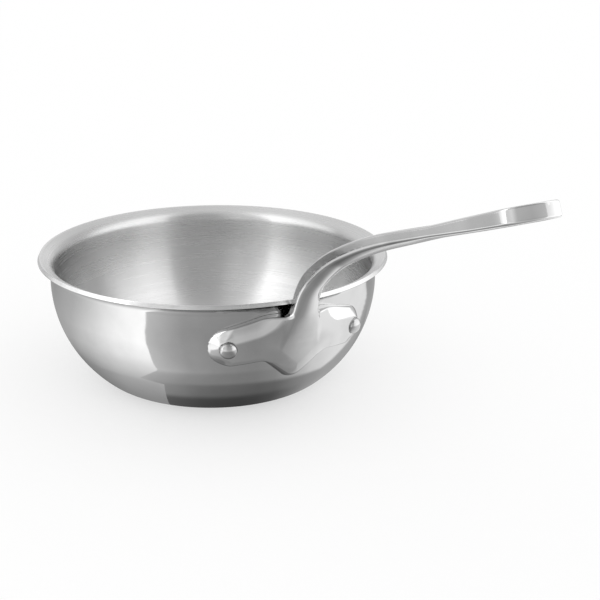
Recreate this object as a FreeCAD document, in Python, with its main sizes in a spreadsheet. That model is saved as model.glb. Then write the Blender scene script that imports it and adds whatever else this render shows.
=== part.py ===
import FreeCAD, Part
import math
import os
import Sketcher

# Saucier pan, millimetres. Z is up, the origin is the middle of the base's underside, +X is the handle.
# The bowl is five bonded sheets, and two rivets hold the cast handle to it.

SIZES = [
    ("mouth_radius", 100, "inside of the upright wall under the lip"),
    ("rim_height", 82, "base to the top of the lip"),
    ("lip_reach", 7.4, "outer edge of the lip beyond the upright wall's outer face"),
    ("lip_radius", 5, "outer surface, where the wall turns out into the lip"),
    ("lip_bend", 65, "degrees that the lip leans out from upright"),
    ("upright_run", 6.5, "upright wall between the belly and the lip's bend"),
    ("side_run", 45.1, "edge of the flat base out to the upright wall's outer face"),
    ("corner_radius", 25.5, "outer surface, from the base into the belly"),
    ("outer_steel", 0.5, "sheet thickness"),
    ("outer_alloy", 0.35, "sheet thickness"),
    ("aluminium_core", 0.9, "sheet thickness"),
    ("inner_alloy", 0.35, "sheet thickness"),
    ("inner_steel", 0.5, "sheet thickness"),
    ("rivet_drop", 27, "top of the lip down to where a rivet's axis leaves the bowl"),
    ("rivet_bearing", 23.2, "degrees round the bowl from the handle's middle plane"),
    ("shank_radius", 3, "rivet shank"),
    ("rivet_clearance", 0.05, "shank and heads to their holes"),
    ("outer_head_radius", 4.9, "rivet head on the flange"),
    ("outer_head_height", 3.8, "top of the head above its seat"),
    ("outer_head_side", 1.8, "straight side of the head"),
    ("inner_head_radius", 6.5, "rivet head inside the bowl"),
    ("inner_head_height", 1.8, "middle of the inner head off the cooking surface"),
    ("inner_head_side", 0.6, "edge of the inner head"),
    ("seat_depth", 0.3, "flat sunk in the flange for the rivet head"),
    ("flange_thickness", 5.5, "casting over the bowl's wall"),
    ("flange_seat", 0.05, "casting to the bowl's outer surface"),
    ("flange_gap", 0.8, "start of the lip's bend down to the flange's upper edge"),
    ("wing_radius", 11.4, "round end of a wing"),
    ("wing_drop", 1, "rivet to the middle of the wing's round end"),
    ("wing_slope", 18, "degrees that the upper edge falls to a wing"),
    ("top_radius", 32, "from the level upper edge into that fall"),
    ("notch_radius", 6, "hollow between a wing and the lower tip"),
    ("notch_drop", 11, "rivet down to the top of that hollow"),
    ("tip_length", 14.8, "top of the hollow down to the flange's lower tip"),
    ("tip_radius", 8, "round of the lower tip"),
    ("tip_slope", 41, "degrees of the edge beside the lower tip"),
    ("flange_round", 2.2, "front edge of the flange"),
    ("lip_clearance", 0.6, "corner of the lip to the neck's inner face"),
    ("root_drop", 36.7, "top of the lip down to the arm's root in the flange"),
    ("neck_drop", 1.8, "top of the lip down to the start of the neck's turn"),
    ("neck_bend", 42, "radius where the neck turns outward"),
    ("neck_rise", 44, "degrees that the arm rises after that turn"),
    ("shoulder_bend", 136, "radius of the arm's shoulder"),
    ("shoulder_rise", 28.5, "degrees that the arm rises after the shoulder"),
    ("arch_bend", 370, "radius where the arm runs into the grip"),
    ("grip_rise", 20.3, "degrees that the grip rises"),
    ("grip_length", 107, "straight run up to the middle of the round end"),
    ("collar_run", 22, "start of the neck's turn back to where the neck leaves the flange"),
    ("neck_run", 3.8, "even section of the neck before its turn"),
    ("waist_run", 38.5, "start of the grip to its thinnest place"),
    ("swell_run", 75, "start of the grip to where it is as thick as its end"),
    ("root_width", 30, "arm section inside the flange"),
    ("root_thickness", 4, "arm section inside the flange"),
    ("collar_width", 21, "arm section where the neck leaves the flange"),
    ("collar_thickness", 5.5, "arm section where the neck leaves the flange"),
    ("neck_width", 14, "arm section at the lip"),
    ("neck_thickness", 8.4, "arm section at the lip"),
    ("shoulder_width", 14, "arm section at the shoulder"),
    ("shoulder_thickness", 9.8, "arm section at the shoulder"),
    ("arch_width", 15.5, "arm section at the start of the grip"),
    ("arch_thickness", 8, "arm section at the start of the grip"),
    ("waist_width", 19, "arm section at the thinnest place of the grip"),
    ("waist_thickness", 6.5, "arm section at the thinnest place of the grip"),
    ("end_width", 28, "grip at its round end"),
    ("end_thickness", 8, "grip at its round end"),
    ("upper_edge", 1, "round of the arm's upper edges"),
    ("lower_edge", 2.4, "round of the arm's lower edges"),
    ("hang_radius", 4.5, "hanging hole in the round end"),
]

doc = FreeCAD.newDocument("saucier_pan")
sheet = doc.addObject("Spreadsheet::Sheet", "Sizes")
for row, (alias, amount, meaning) in enumerate(SIZES, start=1):
    sheet.set("A%d" % row, alias)
    sheet.set("B%d" % row, str(amount))
    sheet.set("C%d" % row, meaning)
    sheet.setAlias("B%d" % row, alias)
doc.recompute()

# Sizes that follow from the sheet, as expressions.
PLIES = ["outer_steel", "outer_alloy", "aluminium_core", "inner_alloy", "inner_steel"]
wall = "(" + " + ".join("Sizes." + sheet_name for sheet_name in PLIES) + ")"
wall_radius = "(Sizes.mouth_radius + %s)" % wall
rim_radius = "(%s + Sizes.lip_reach)" % wall_radius
base_radius = "(%s - Sizes.side_run)" % wall_radius
lip_turn = "(Sizes.lip_radius * (1 - cos(Sizes.lip_bend)))"
flare = "((Sizes.lip_reach - %s) / sin(Sizes.lip_bend))" % lip_turn
lip_rise = "((Sizes.lip_radius + %s) * sin(Sizes.lip_bend) + %s * cos(Sizes.lip_bend))" % (wall, flare)
lip_height = "(Sizes.rim_height - %s)" % lip_rise

# The belly is the arc that meets both the corner's arc and the upright wall without a crease.
belly_z = "(%s - Sizes.upright_run)" % lip_height
corner_rise = "(%s - Sizes.corner_radius)" % belly_z
corner_room = "(Sizes.side_run - Sizes.corner_radius)"
corner_square = "(Sizes.side_run ^ 2 + %s ^ 2 - Sizes.corner_radius ^ 2)" % corner_rise
belly_radius = "(%s / (2 * %s))" % (corner_square, corner_room)
belly_x = "(%s - %s)" % (wall_radius, belly_radius)

# A rivet's axis runs through the belly's centre. The flange is measured from it and from the lip.
rivet_height = "(Sizes.rim_height - Sizes.rivet_drop)"
rivet_tilt = "asin((%s - %s) / %s)" % (belly_z, rivet_height, belly_radius)
rivet_reach = "(%s + %s * cos(%s))" % (belly_x, belly_radius, rivet_tilt)
flange_back = "(%s + Sizes.flange_seat)" % belly_radius
flange_front = "(%s + Sizes.flange_thickness)" % belly_radius
head_seat = "(%s - Sizes.seat_depth)" % flange_front
flange_top = "(%s - Sizes.flange_gap)" % lip_height
notch_top = "(%s - Sizes.notch_drop)" % rivet_height
notch_middle = "(%s - Sizes.notch_radius)" % notch_top
flange_tip = "(%s - Sizes.tip_length)" % notch_top

# The neck leans from the middle of the flange's thickness so that it just clears the lip.
root_height = "(Sizes.rim_height - Sizes.root_drop)"
root_radius = "((%s + %s) / 2)" % (flange_back, flange_front)
root_reach = "(%s + sqrt(%s ^ 2 - (%s - %s) ^ 2))" % (belly_x, root_radius, belly_z, root_height)
lip_overhang = "(%s - %s)" % (rim_radius, root_reach)
lip_span = "sqrt(%s ^ 2 + Sizes.root_drop ^ 2)" % lip_overhang
lip_room = "(Sizes.lip_clearance + Sizes.neck_thickness / 2)"
neck_lean = "(atan2(Sizes.root_drop; %s) - asin(%s / %s))" % (lip_overhang, lip_room, lip_span)
neck_length = "((Sizes.root_drop - Sizes.neck_drop) / sin(%s))" % neck_lean

# A sketch's constraints count the points of an edge up in this order, and count its own axes down.
POINTS = ("edge", "start", "end", "centre")
AXES = ("origin", "upright")
NEAR = 0.01


def number(expression):
    """The value that an expression has now."""
    value = sheet.evalExpression(expression)
    return float(getattr(value, "Value", value))


def sketch_on(body, role, name):
    """An empty sketch on one of the body's own origin planes."""
    sketch = body.newObject("Sketcher::SketchObject", name)
    plane = [feature for feature in body.Origin.OriginFeatures if feature.Role == role][0]
    sketch.AttachmentSupport = (plane, [""])
    sketch.MapMode = "FlatFace"
    return sketch


def line(sketch, start, end):
    return sketch.addGeometry(Part.LineSegment(FreeCAD.Vector(*start), FreeCAD.Vector(*end)))


def arc(sketch, centre, radius, first, last):
    """An arc drawn anticlockwise between two angles in degrees."""
    circle = Part.Circle(FreeCAD.Vector(*centre), FreeCAD.Vector(0, 0, 1), radius)
    return sketch.addGeometry(Part.ArcOfCircle(circle, math.radians(first), math.radians(last)))


def constraint(words):
    """A constraint from its kind, edges and points, with the points named in words."""
    codes = {name: place for place, name in enumerate(POINTS)}
    codes.update({name: ~place for place, name in enumerate(AXES)})
    return Sketcher.Constraint(*[codes.get(word, word) for word in words])


def rule(sketch, *words):
    sketch.addConstraint(constraint(words))


def size(sketch, name, expression, *words):
    """A driving dimension of a sketch, tied to the sheet."""
    value = number(expression)
    if words[0] == "Angle":
        value = math.radians(value)
    index = sketch.addConstraint(constraint([*words, value]))
    sketch.renameConstraint(index, name)
    sketch.setExpression("Constraints." + name, expression)


def aim(thing, side, reach):
    """Place a thing on a rivet's axis, reach away from the belly's centre, with its Z along the axis."""
    bearing = "(%d * Sizes.rivet_bearing)" % side
    out = "(%s + %s * cos(%s))" % (belly_x, reach, rivet_tilt)
    thing.setExpression("Placement.Base.x", "%s * cos(%s)" % (out, bearing))
    thing.setExpression("Placement.Base.y", "%s * sin(%s)" % (out, bearing))
    thing.setExpression("Placement.Base.z", "%s - %s * sin(%s)" % (belly_z, reach, rivet_tilt))
    thing.setExpression("Placement.Rotation.Axis.x", "-sin(%s)" % bearing)
    thing.setExpression("Placement.Rotation.Axis.y", "cos(%s)" % bearing)
    thing.setExpression("Placement.Rotation.Axis.z", "0")
    thing.setExpression("Placement.Rotation.Angle", "90 deg + %s" % rivet_tilt)


def rivet_hole(body, side):
    """The hole for one rivet's shank, through whatever the body has on that axis."""
    hole = body.newObject("PartDesign::SubtractiveCylinder", "rivet_hole")
    hole.setExpression("Radius", "Sizes.shank_radius + Sizes.rivet_clearance")
    hole.setExpression("Height", "2 * (Sizes.flange_thickness + %s)" % wall)
    aim(hole, side, "(%s - 2 * %s)" % (belly_radius, wall))


# Bowl plies: each is the space between two depths under the bowl's outer surface, turned about Z.


def bowl_surface(sketch, depth):
    """Half of the bowl's surface at a depth: base, corner, belly, wall, lip bend and flare."""
    deep = number(depth)
    base_end = number(base_radius)
    corner = number("Sizes.corner_radius")
    middle = (number(belly_x), number(belly_z))
    turn = math.degrees(math.atan2(corner - middle[1], base_end - middle[0]))
    upright = number(wall_radius) - deep
    lip_z = number(lip_height)
    bend = number("Sizes.lip_bend")
    lip_middle = (number(wall_radius) + number("Sizes.lip_radius"), lip_z)
    lip = number("Sizes.lip_radius") + deep
    edge = math.radians(180 - bend)
    leave = (lip_middle[0] + lip * math.cos(edge), lip_z + lip * math.sin(edge))
    run = number(flare)
    tip = (leave[0] + run * math.sin(math.radians(bend)), leave[1] + run * math.cos(math.radians(bend)))
    parts = [
        line(sketch, (0, deep), (base_end, deep)),
        arc(sketch, (base_end, corner), corner - deep, -90, turn),
        arc(sketch, middle, number(belly_radius) - deep, turn, 0),
        line(sketch, (upright, middle[1]), (upright, lip_z)),
        arc(sketch, lip_middle, lip, 180 - bend, 180),
        line(sketch, leave, tip),
    ]
    joins = [("end", "start"), ("end", "start"), ("end", "start"), ("end", "end"), ("start", "start")]
    for first, second, (leaving, meeting) in zip(parts, parts[1:], joins):
        rule(sketch, "Tangent", first, leaving, second, meeting)
    rule(sketch, "Horizontal", parts[0])
    rule(sketch, "Vertical", parts[3])
    rule(sketch, "PointOnObject", parts[0], "start", "upright")
    return parts


def make_ply(label, outer, inner):
    body = doc.addObject("PartDesign::Body", label)
    sketch = sketch_on(body, "XZ_Plane", "section")
    outside = bowl_surface(sketch, outer)
    inside = bowl_surface(sketch, inner)
    base, corner, belly, upright, lip, flared = outside
    size(sketch, "outer_depth", outer, "DistanceY", "origin", "start", base, "start")
    size(sketch, "base", base_radius, "DistanceX", base, "start", base, "end")
    size(sketch, "corner", "Sizes.corner_radius - %s" % outer, "Radius", corner)
    size(sketch, "belly", "%s - %s" % (belly_radius, outer), "Radius", belly)
    size(sketch, "wall", "%s - %s" % (wall_radius, outer), "DistanceX", "origin", "start", upright, "start")
    size(sketch, "lip", "Sizes.lip_radius + %s" % outer, "Radius", lip)
    size(sketch, "lip_height", lip_height, "DistanceY", "origin", "start", lip, "centre")
    size(sketch, "lip_bend", "Sizes.lip_bend", "Angle", lip)
    size(sketch, "flare", flare, "Distance", flared)
    size(sketch, "inner_depth", inner, "DistanceY", "origin", "start", inside[0], "start")
    for bend in (1, 2, 4):
        rule(sketch, "Coincident", inside[bend], "centre", outside[bend], "centre")
    lip_corner = (number(rim_radius), number(lip_height))
    cut_edge = line(sketch, lip_corner, (number(wall_radius), number("Sizes.rim_height")))
    rule(sketch, "Coincident", cut_edge, "start", flared, "end")
    rule(sketch, "Coincident", cut_edge, "end", inside[5], "end")
    rule(sketch, "Perpendicular", cut_edge, flared)
    rule(sketch, "Perpendicular", cut_edge, inside[5])
    middle = line(sketch, (0, number(outer)), (0, number(inner)))
    rule(sketch, "Coincident", middle, "start", base, "start")
    rule(sketch, "Coincident", middle, "end", inside[0], "start")
    turned = body.newObject("PartDesign::Revolution", "turned")
    turned.Profile = sketch
    turned.ReferenceAxis = (sketch, ["V_Axis"])
    turned.Angle = 360
    for side in (-1, 1):
        rivet_hole(body, side)
    return body


# Handle: one casting. A band of even thickness on the bowl's wall is trimmed to a winged flange, and the
# neck and arm grow out of it along a path of tangent lines and arcs.


def flange_band(body):
    """The casting's thickness over the bowl's wall, turned about Z on both sides of the handle."""
    sketch = sketch_on(body, "XZ_Plane", "flange_band")
    middle = (number(belly_x), number(belly_z))
    over_top = "%s + Sizes.wing_radius" % flange_top
    under_tip = "%s - Sizes.tip_radius" % flange_tip
    inner, outer = number(flange_back), number(flange_front)
    top, bottom = number(over_top), number(under_tip)
    low_inner = math.degrees(math.asin((bottom - middle[1]) / inner))
    low_outer = math.degrees(math.asin((bottom - middle[1]) / outer))
    inside = arc(sketch, middle, inner, low_inner, 0)
    inside_up = line(sketch, (middle[0] + inner, middle[1]), (middle[0] + inner, top))
    over = line(sketch, (middle[0] + inner, top), (middle[0] + outer, top))
    front_up = line(sketch, (middle[0] + outer, top), (middle[0] + outer, middle[1]))
    front = arc(sketch, middle, outer, low_outer, 0)
    under = line(sketch, (middle[0] + outer, bottom), (middle[0] + inner, bottom))
    rule(sketch, "Tangent", inside, "end", inside_up, "start")
    rule(sketch, "Tangent", front_up, "end", front, "end")
    rule(sketch, "Coincident", inside_up, "end", over, "start")
    rule(sketch, "Coincident", over, "end", front_up, "start")
    rule(sketch, "Coincident", front, "start", under, "start")
    rule(sketch, "Coincident", under, "end", inside, "start")
    rule(sketch, "Coincident", inside, "centre", front, "centre")
    for upright in (inside_up, front_up):
        rule(sketch, "Vertical", upright)
    for level in (over, under):
        rule(sketch, "Horizontal", level)
    size(sketch, "belly_x", belly_x, "DistanceX", "origin", "start", inside, "centre")
    size(sketch, "belly_z", belly_z, "DistanceY", "origin", "start", inside, "centre")
    size(sketch, "seat", flange_back, "Radius", inside)
    size(sketch, "front", flange_front, "Radius", front)
    size(sketch, "top", over_top, "DistanceY", "origin", "start", over, "start")
    size(sketch, "bottom", under_tip, "DistanceY", "origin", "start", under, "start")
    band = body.newObject("PartDesign::Revolution", "band")
    band.Profile = sketch
    band.ReferenceAxis = (sketch, ["V_Axis"])
    band.Midplane = True
    wing_reach = "asin(2 * Sizes.wing_radius / %s)" % rim_radius
    band.setExpression("Angle", "2 * (Sizes.rivet_bearing * 1 deg + %s)" % wing_reach)
    return band


def flange_outline(body):
    """Cut away what lies outside one wing's outline, seen along X, then the same on the other side."""
    sketch = sketch_on(body, "YZ_Plane", "flange_outline")
    tip_z = number(flange_tip)
    top_z = number(flange_top)
    tip_radius = number("Sizes.tip_radius")
    slope = number("Sizes.tip_slope")
    notch_radius = number("Sizes.notch_radius")
    notch_z = number(notch_middle)
    wing_y = "%s * sin(Sizes.rivet_bearing)" % rivet_reach
    wing_z = "%s - Sizes.wing_drop" % rivet_height
    wing = (number(wing_y), number(wing_z))
    wing_radius = number("Sizes.wing_radius")
    droop = number("Sizes.wing_slope")
    top_radius = number("Sizes.top_radius")
    far = number(rim_radius)
    over_top = "%s + 2 * Sizes.wing_radius" % flange_top
    rise, run = math.sin(math.radians(slope)), math.cos(math.radians(slope))
    beside_tip = (tip_radius * rise, tip_z + tip_radius * (1 - run))
    side_run = (notch_z + notch_radius * run - beside_tip[1]) / rise
    below_notch = (beside_tip[0] + side_run * run, beside_tip[1] + side_run * rise)
    notch = (below_notch[0] + notch_radius * rise, notch_z)
    fall = math.degrees(math.atan2(wing[1] - wing_radius - notch_z - notch_radius, wing[0] - notch[0]))

    def on_circle(centre, radius, angle):
        turn = math.radians(angle)
        return (centre[0] + radius * math.cos(turn), centre[1] + radius * math.sin(turn))

    notch_end = on_circle(notch, notch_radius, 90 + fall)
    wing_start = on_circle(wing, wing_radius, fall - 90)
    wing_end = on_circle(wing, wing_radius, 90 - droop)
    fall_start = wing_end[0] - (top_z - wing_end[1]) / math.tan(math.radians(droop))
    flat = fall_start - top_radius * math.tan(math.radians(droop / 2))
    crown = (flat, top_z - top_radius)
    crown_start = on_circle(crown, top_radius, 90 - droop)
    tip = arc(sketch, (0, tip_z + tip_radius), tip_radius, -90, slope - 90)
    beside = line(sketch, beside_tip, below_notch)
    hollow = arc(sketch, notch, notch_radius, 90 + fall, 90 + slope)
    lower = line(sketch, notch_end, wing_start)
    rounded = arc(sketch, wing, wing_radius, fall - 90, 90 - droop)
    upper = line(sketch, wing_end, crown_start)
    crowned = arc(sketch, crown, top_radius, 90 - droop, 90)
    level = line(sketch, (flat, top_z), (0, top_z))
    over = number(over_top)
    corners = [(0, top_z), (0, over), (far, over), (far, 0), (0, 0), (0, tip_z)]
    frame = [line(sketch, first, second) for first, second in zip(corners, corners[1:])]
    rule(sketch, "Tangent", tip, "end", beside, "start")
    rule(sketch, "Tangent", beside, "end", hollow, "end")
    rule(sketch, "Tangent", hollow, "start", lower, "start")
    rule(sketch, "Tangent", lower, "end", rounded, "start")
    rule(sketch, "Tangent", rounded, "end", upper, "start")
    rule(sketch, "Tangent", upper, "end", crowned, "start")
    rule(sketch, "Tangent", crowned, "end", level, "start")
    rule(sketch, "Horizontal", level)
    for first, second in zip([level] + frame, frame + [tip]):
        rule(sketch, "Coincident", first, "end", second, "start")
    for upright in (frame[0], frame[2], frame[4]):
        rule(sketch, "Vertical", upright)
    for flat_side in (frame[1], frame[3]):
        rule(sketch, "Horizontal", flat_side)
    rule(sketch, "PointOnObject", tip, "centre", "upright")
    rule(sketch, "PointOnObject", level, "end", "upright")
    rule(sketch, "Coincident", frame[3], "end", "origin", "start")
    size(sketch, "tip", flange_tip, "DistanceY", "origin", "start", tip, "start")
    size(sketch, "tip_radius", "Sizes.tip_radius", "Radius", tip)
    size(sketch, "tip_slope", "Sizes.tip_slope", "Angle", beside)
    size(sketch, "notch_radius", "Sizes.notch_radius", "Radius", hollow)
    size(sketch, "notch", notch_middle, "DistanceY", "origin", "start", hollow, "centre")
    size(sketch, "wing_y", wing_y, "DistanceX", "origin", "start", rounded, "centre")
    size(sketch, "wing_z", wing_z, "DistanceY", "origin", "start", rounded, "centre")
    size(sketch, "wing_radius", "Sizes.wing_radius", "Radius", rounded)
    size(sketch, "top_radius", "Sizes.top_radius", "Radius", crowned)
    size(sketch, "wing_slope", "180 - Sizes.wing_slope", "Angle", upper)
    size(sketch, "top", flange_top, "DistanceY", "origin", "start", level, "end")
    size(sketch, "frame_top", over_top, "DistanceY", "origin", "start", frame[1], "start")
    size(sketch, "frame_side", rim_radius, "DistanceX", "origin", "start", frame[2], "end")
    trim = body.newObject("PartDesign::Pocket", "wing_trim")
    trim.Profile = sketch
    trim.Reversed = True
    trim.setExpression("Length", "2 * %s" % rim_radius)
    both = body.newObject("PartDesign::Mirrored", "both_wings")
    both.Originals = [trim]
    middle_plane = [feature for feature in body.Origin.OriginFeatures if feature.Role == "XZ_Plane"][0]
    both.MirrorPlane = (middle_plane, [""])
    body.Tip = both
    return both


def front_edges(shape):
    """Names of the outline's edges on the flange's front face."""
    middle = FreeCAD.Vector(number(belly_x), 0, number(belly_z))
    front = number(flange_front)
    names = []
    for index, edge in enumerate(shape.Edges, start=1):
        point = edge.valueAt((edge.FirstParameter + edge.LastParameter) / 2)
        out = math.hypot(point.x, point.y) - middle.x
        off_centre = math.hypot(out, min(point.z - middle.z, 0))
        seam = all(abs(vertex.Z - middle.z) < NEAR for vertex in edge.Vertexes)
        if abs(off_centre - front) < NEAR and not seam:
            names.append("Edge%d" % index)
    return names


def arm_path(body):
    """The arm's middle line: up the neck, over three bends of growing radius, then the straight grip."""
    sketch = sketch_on(body, "XZ_Plane", "arm_path")
    rises = [number(neck_lean)]
    rises += [number("Sizes." + name) for name in ("neck_rise", "shoulder_rise", "grip_rise")]
    root = FreeCAD.Vector(number(root_reach), number(root_height), 0)

    def ahead(angle):
        return FreeCAD.Vector(math.cos(math.radians(angle)), math.sin(math.radians(angle)), 0)

    place = root + ahead(rises[0]) * number(neck_length)
    neck = line(sketch, root, place)
    bends = []
    for name, first, last in zip(("neck_bend", "shoulder_bend", "arch_bend"), rises, rises[1:]):
        radius = number("Sizes." + name)
        centre = place + ahead(first - 90) * radius
        bends.append(arc(sketch, centre, radius, last + 90, first + 90))
        size(sketch, name, "Sizes." + name, "Radius", bends[-1])
        place = centre + ahead(last + 90) * radius
    grip = line(sketch, place, place + ahead(rises[3]) * number("Sizes.grip_length"))
    rule(sketch, "Tangent", neck, "end", bends[0], "end")
    rule(sketch, "Tangent", bends[0], "start", bends[1], "end")
    rule(sketch, "Tangent", bends[1], "start", bends[2], "end")
    rule(sketch, "Tangent", bends[2], "start", grip, "start")
    size(sketch, "root_reach", root_reach, "DistanceX", "origin", "start", neck, "start")
    size(sketch, "root_height", root_height, "DistanceY", "origin", "start", neck, "start")
    size(sketch, "neck_lean", neck_lean, "Angle", neck)
    size(sketch, "neck_length", neck_length, "Distance", neck)
    size(sketch, "neck_turn", "%s - Sizes.neck_rise * 1 deg" % neck_lean, "Angle", bends[0])
    size(sketch, "shoulder_turn", "Sizes.neck_rise - Sizes.shoulder_rise", "Angle", bends[1])
    size(sketch, "grip_rise", "Sizes.grip_rise", "Angle", grip)
    size(sketch, "grip_length", "Sizes.grip_length", "Distance", grip)
    return sketch


def arm_section(body, path, name, edge, along, width, thickness):
    """A slab with rounded edges, square to the path: small rounds above, larger ones below."""
    sketch = body.newObject("Sketcher::SketchObject", name)
    sketch.AttachmentSupport = (path, ["Edge%d" % edge])
    sketch.MapMode = "NormalToEdge"
    sketch.setExpression("MapPathParameter", along)
    half, deep = number(width) / 2, number(thickness) / 2
    top, bottom = number("Sizes.upper_edge"), number("Sizes.lower_edge")
    lower = line(sketch, (bottom - half, -deep), (half - bottom, -deep))
    lower_right = arc(sketch, (half - bottom, bottom - deep), bottom, -90, 0)
    right = line(sketch, (half, bottom - deep), (half, deep - top))
    upper_right = arc(sketch, (half - top, deep - top), top, 0, 90)
    upper = line(sketch, (half - top, deep), (top - half, deep))
    upper_left = arc(sketch, (top - half, deep - top), top, 90, 180)
    left = line(sketch, (-half, deep - top), (-half, bottom - deep))
    lower_left = arc(sketch, (bottom - half, bottom - deep), bottom, 180, 270)
    ring = [lower, lower_right, right, upper_right, upper, upper_left, left, lower_left]
    for first, second in zip(ring, ring[1:] + ring[:1]):
        rule(sketch, "Tangent", first, "end", second, "start")
    rule(sketch, "Horizontal", upper)
    rule(sketch, "Vertical", right)
    rule(sketch, "Vertical", left)
    rule(sketch, "Equal", upper_right, upper_left)
    rule(sketch, "Equal", lower_right, lower_left)
    rule(sketch, "Symmetric", lower, "start", lower, "end", "upright")
    size(sketch, "upper_edge", "Sizes.upper_edge", "Radius", upper_right)
    size(sketch, "lower_edge", "Sizes.lower_edge", "Radius", lower_right)
    size(sketch, "half_width", "(%s) / 2" % width, "DistanceX", "origin", "start", right, "start")
    size(sketch, "thickness", thickness, "DistanceY", lower, "end", upper, "start")
    size(sketch, "half_thickness", "(%s) / 2" % thickness, "DistanceY", "origin", "start", upper, "start")
    return sketch


def round_end(body, path):
    """Half of the grip's end section, turned half round, so that the arm's edges run round its end."""
    sketch = body.newObject("Sketcher::SketchObject", "half_end")
    sketch.AttachmentSupport = (path, ["Edge5"])
    sketch.MapMode = "NormalToEdge"
    sketch.MapPathParameter = 1
    half, deep = number("Sizes.end_width / 2"), number("Sizes.end_thickness / 2")
    top, bottom = number("Sizes.upper_edge"), number("Sizes.lower_edge")
    axis = line(sketch, (0, deep), (0, -deep))
    lower = line(sketch, (0, -deep), (half - bottom, -deep))
    lower_round = arc(sketch, (half - bottom, bottom - deep), bottom, -90, 0)
    side = line(sketch, (half, bottom - deep), (half, deep - top))
    upper_round = arc(sketch, (half - top, deep - top), top, 0, 90)
    upper = line(sketch, (half - top, deep), (0, deep))
    rim = [lower, lower_round, side, upper_round, upper]
    for first, second in zip(rim, rim[1:]):
        rule(sketch, "Tangent", first, "end", second, "start")
    rule(sketch, "Coincident", upper, "end", axis, "start")
    rule(sketch, "Coincident", axis, "end", lower, "start")
    rule(sketch, "PointOnObject", axis, "start", "upright")
    rule(sketch, "PointOnObject", axis, "end", "upright")
    rule(sketch, "Horizontal", lower)
    rule(sketch, "Vertical", side)
    rule(sketch, "Horizontal", upper)
    size(sketch, "upper_edge", "Sizes.upper_edge", "Radius", upper_round)
    size(sketch, "lower_edge", "Sizes.lower_edge", "Radius", lower_round)
    size(sketch, "half_width", "Sizes.end_width / 2", "DistanceX", "origin", "start", side, "start")
    size(sketch, "thickness", "Sizes.end_thickness", "DistanceY", axis, "end", axis, "start")
    size(sketch, "half_thickness", "Sizes.end_thickness / 2", "DistanceY", "origin", "start", axis, "start")
    end = body.newObject("PartDesign::Revolution", "round_end")
    end.Profile = sketch
    end.ReferenceAxis = (sketch, ["V_Axis"])
    end.Angle = 180


def rivet_seat(body, side):
    """The flat on the flange under one rivet's outer head."""
    seat = body.newObject("PartDesign::SubtractiveCylinder", "rivet_seat")
    seat.setExpression("Radius", "Sizes.outer_head_radius + Sizes.rivet_clearance")
    seat.setExpression("Height", "Sizes.flange_thickness")
    aim(seat, side, head_seat)


def hanging_hole(body, path):
    """The hole for a hook, square through the grip at the middle of its round end."""
    hole = body.newObject("PartDesign::SubtractiveCylinder", "hanging_hole")
    hole.setExpression("Radius", "Sizes.hang_radius")
    hole.setExpression("Height", "2 * Sizes.end_thickness")
    hole.AttachmentSupport = (path, ["Edge5"])
    hole.MapMode = "NormalToEdge"
    hole.MapPathParameter = 1
    across = FreeCAD.Rotation(FreeCAD.Vector(1, 0, 0), -90)
    hole.AttachmentOffset = FreeCAD.Placement(FreeCAD.Vector(), across)
    hole.setExpression("AttachmentOffset.Base.y", "-Sizes.end_thickness")


def make_handle():
    body = doc.addObject("PartDesign::Body", "handle")
    flange_band(body)
    outline = flange_outline(body)
    doc.recompute()
    softened = body.newObject("PartDesign::Fillet", "flange_front")
    softened.Base = (outline, front_edges(outline.Shape))
    softened.setExpression("Radius", "Sizes.flange_round")
    path = arm_path(body)
    doc.recompute()
    collar_place = "1 - Sizes.collar_run / %s" % neck_length
    neck_place = "1 - Sizes.neck_run / %s" % neck_length
    swell_width = "(Sizes.waist_width + Sizes.end_width) / 2"
    stations = [
        ("root", 1, "0", "Sizes.root_width", "Sizes.root_thickness"),
        ("collar", 1, collar_place, "Sizes.collar_width", "Sizes.collar_thickness"),
        ("neck", 1, neck_place, "Sizes.neck_width", "Sizes.neck_thickness"),
        ("bend", 2, "0", "Sizes.neck_width", "Sizes.neck_thickness"),
        ("shoulder", 3, "0", "Sizes.shoulder_width", "Sizes.shoulder_thickness"),
        ("arch", 5, "0", "Sizes.arch_width", "Sizes.arch_thickness"),
        ("waist", 5, "Sizes.waist_run / Sizes.grip_length", "Sizes.waist_width", "Sizes.waist_thickness"),
        ("swell", 5, "Sizes.swell_run / Sizes.grip_length", swell_width, "Sizes.end_thickness"),
        ("end", 5, "1", "Sizes.end_width", "Sizes.end_thickness"),
    ]
    sections = [arm_section(body, path, *station) for station in stations]
    doc.recompute()
    arm = body.newObject("PartDesign::AdditiveLoft", "arm")
    arm.Profile = sections[0]
    arm.Sections = sections[1:]
    doc.recompute()
    round_end(body, path)
    for side in (-1, 1):
        rivet_hole(body, side)
        rivet_seat(body, side)
    hanging_hole(body, path)
    return body


# Rivets: a solid shank, a low wide head that follows the cooking surface and a domed head on the flange.


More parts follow.
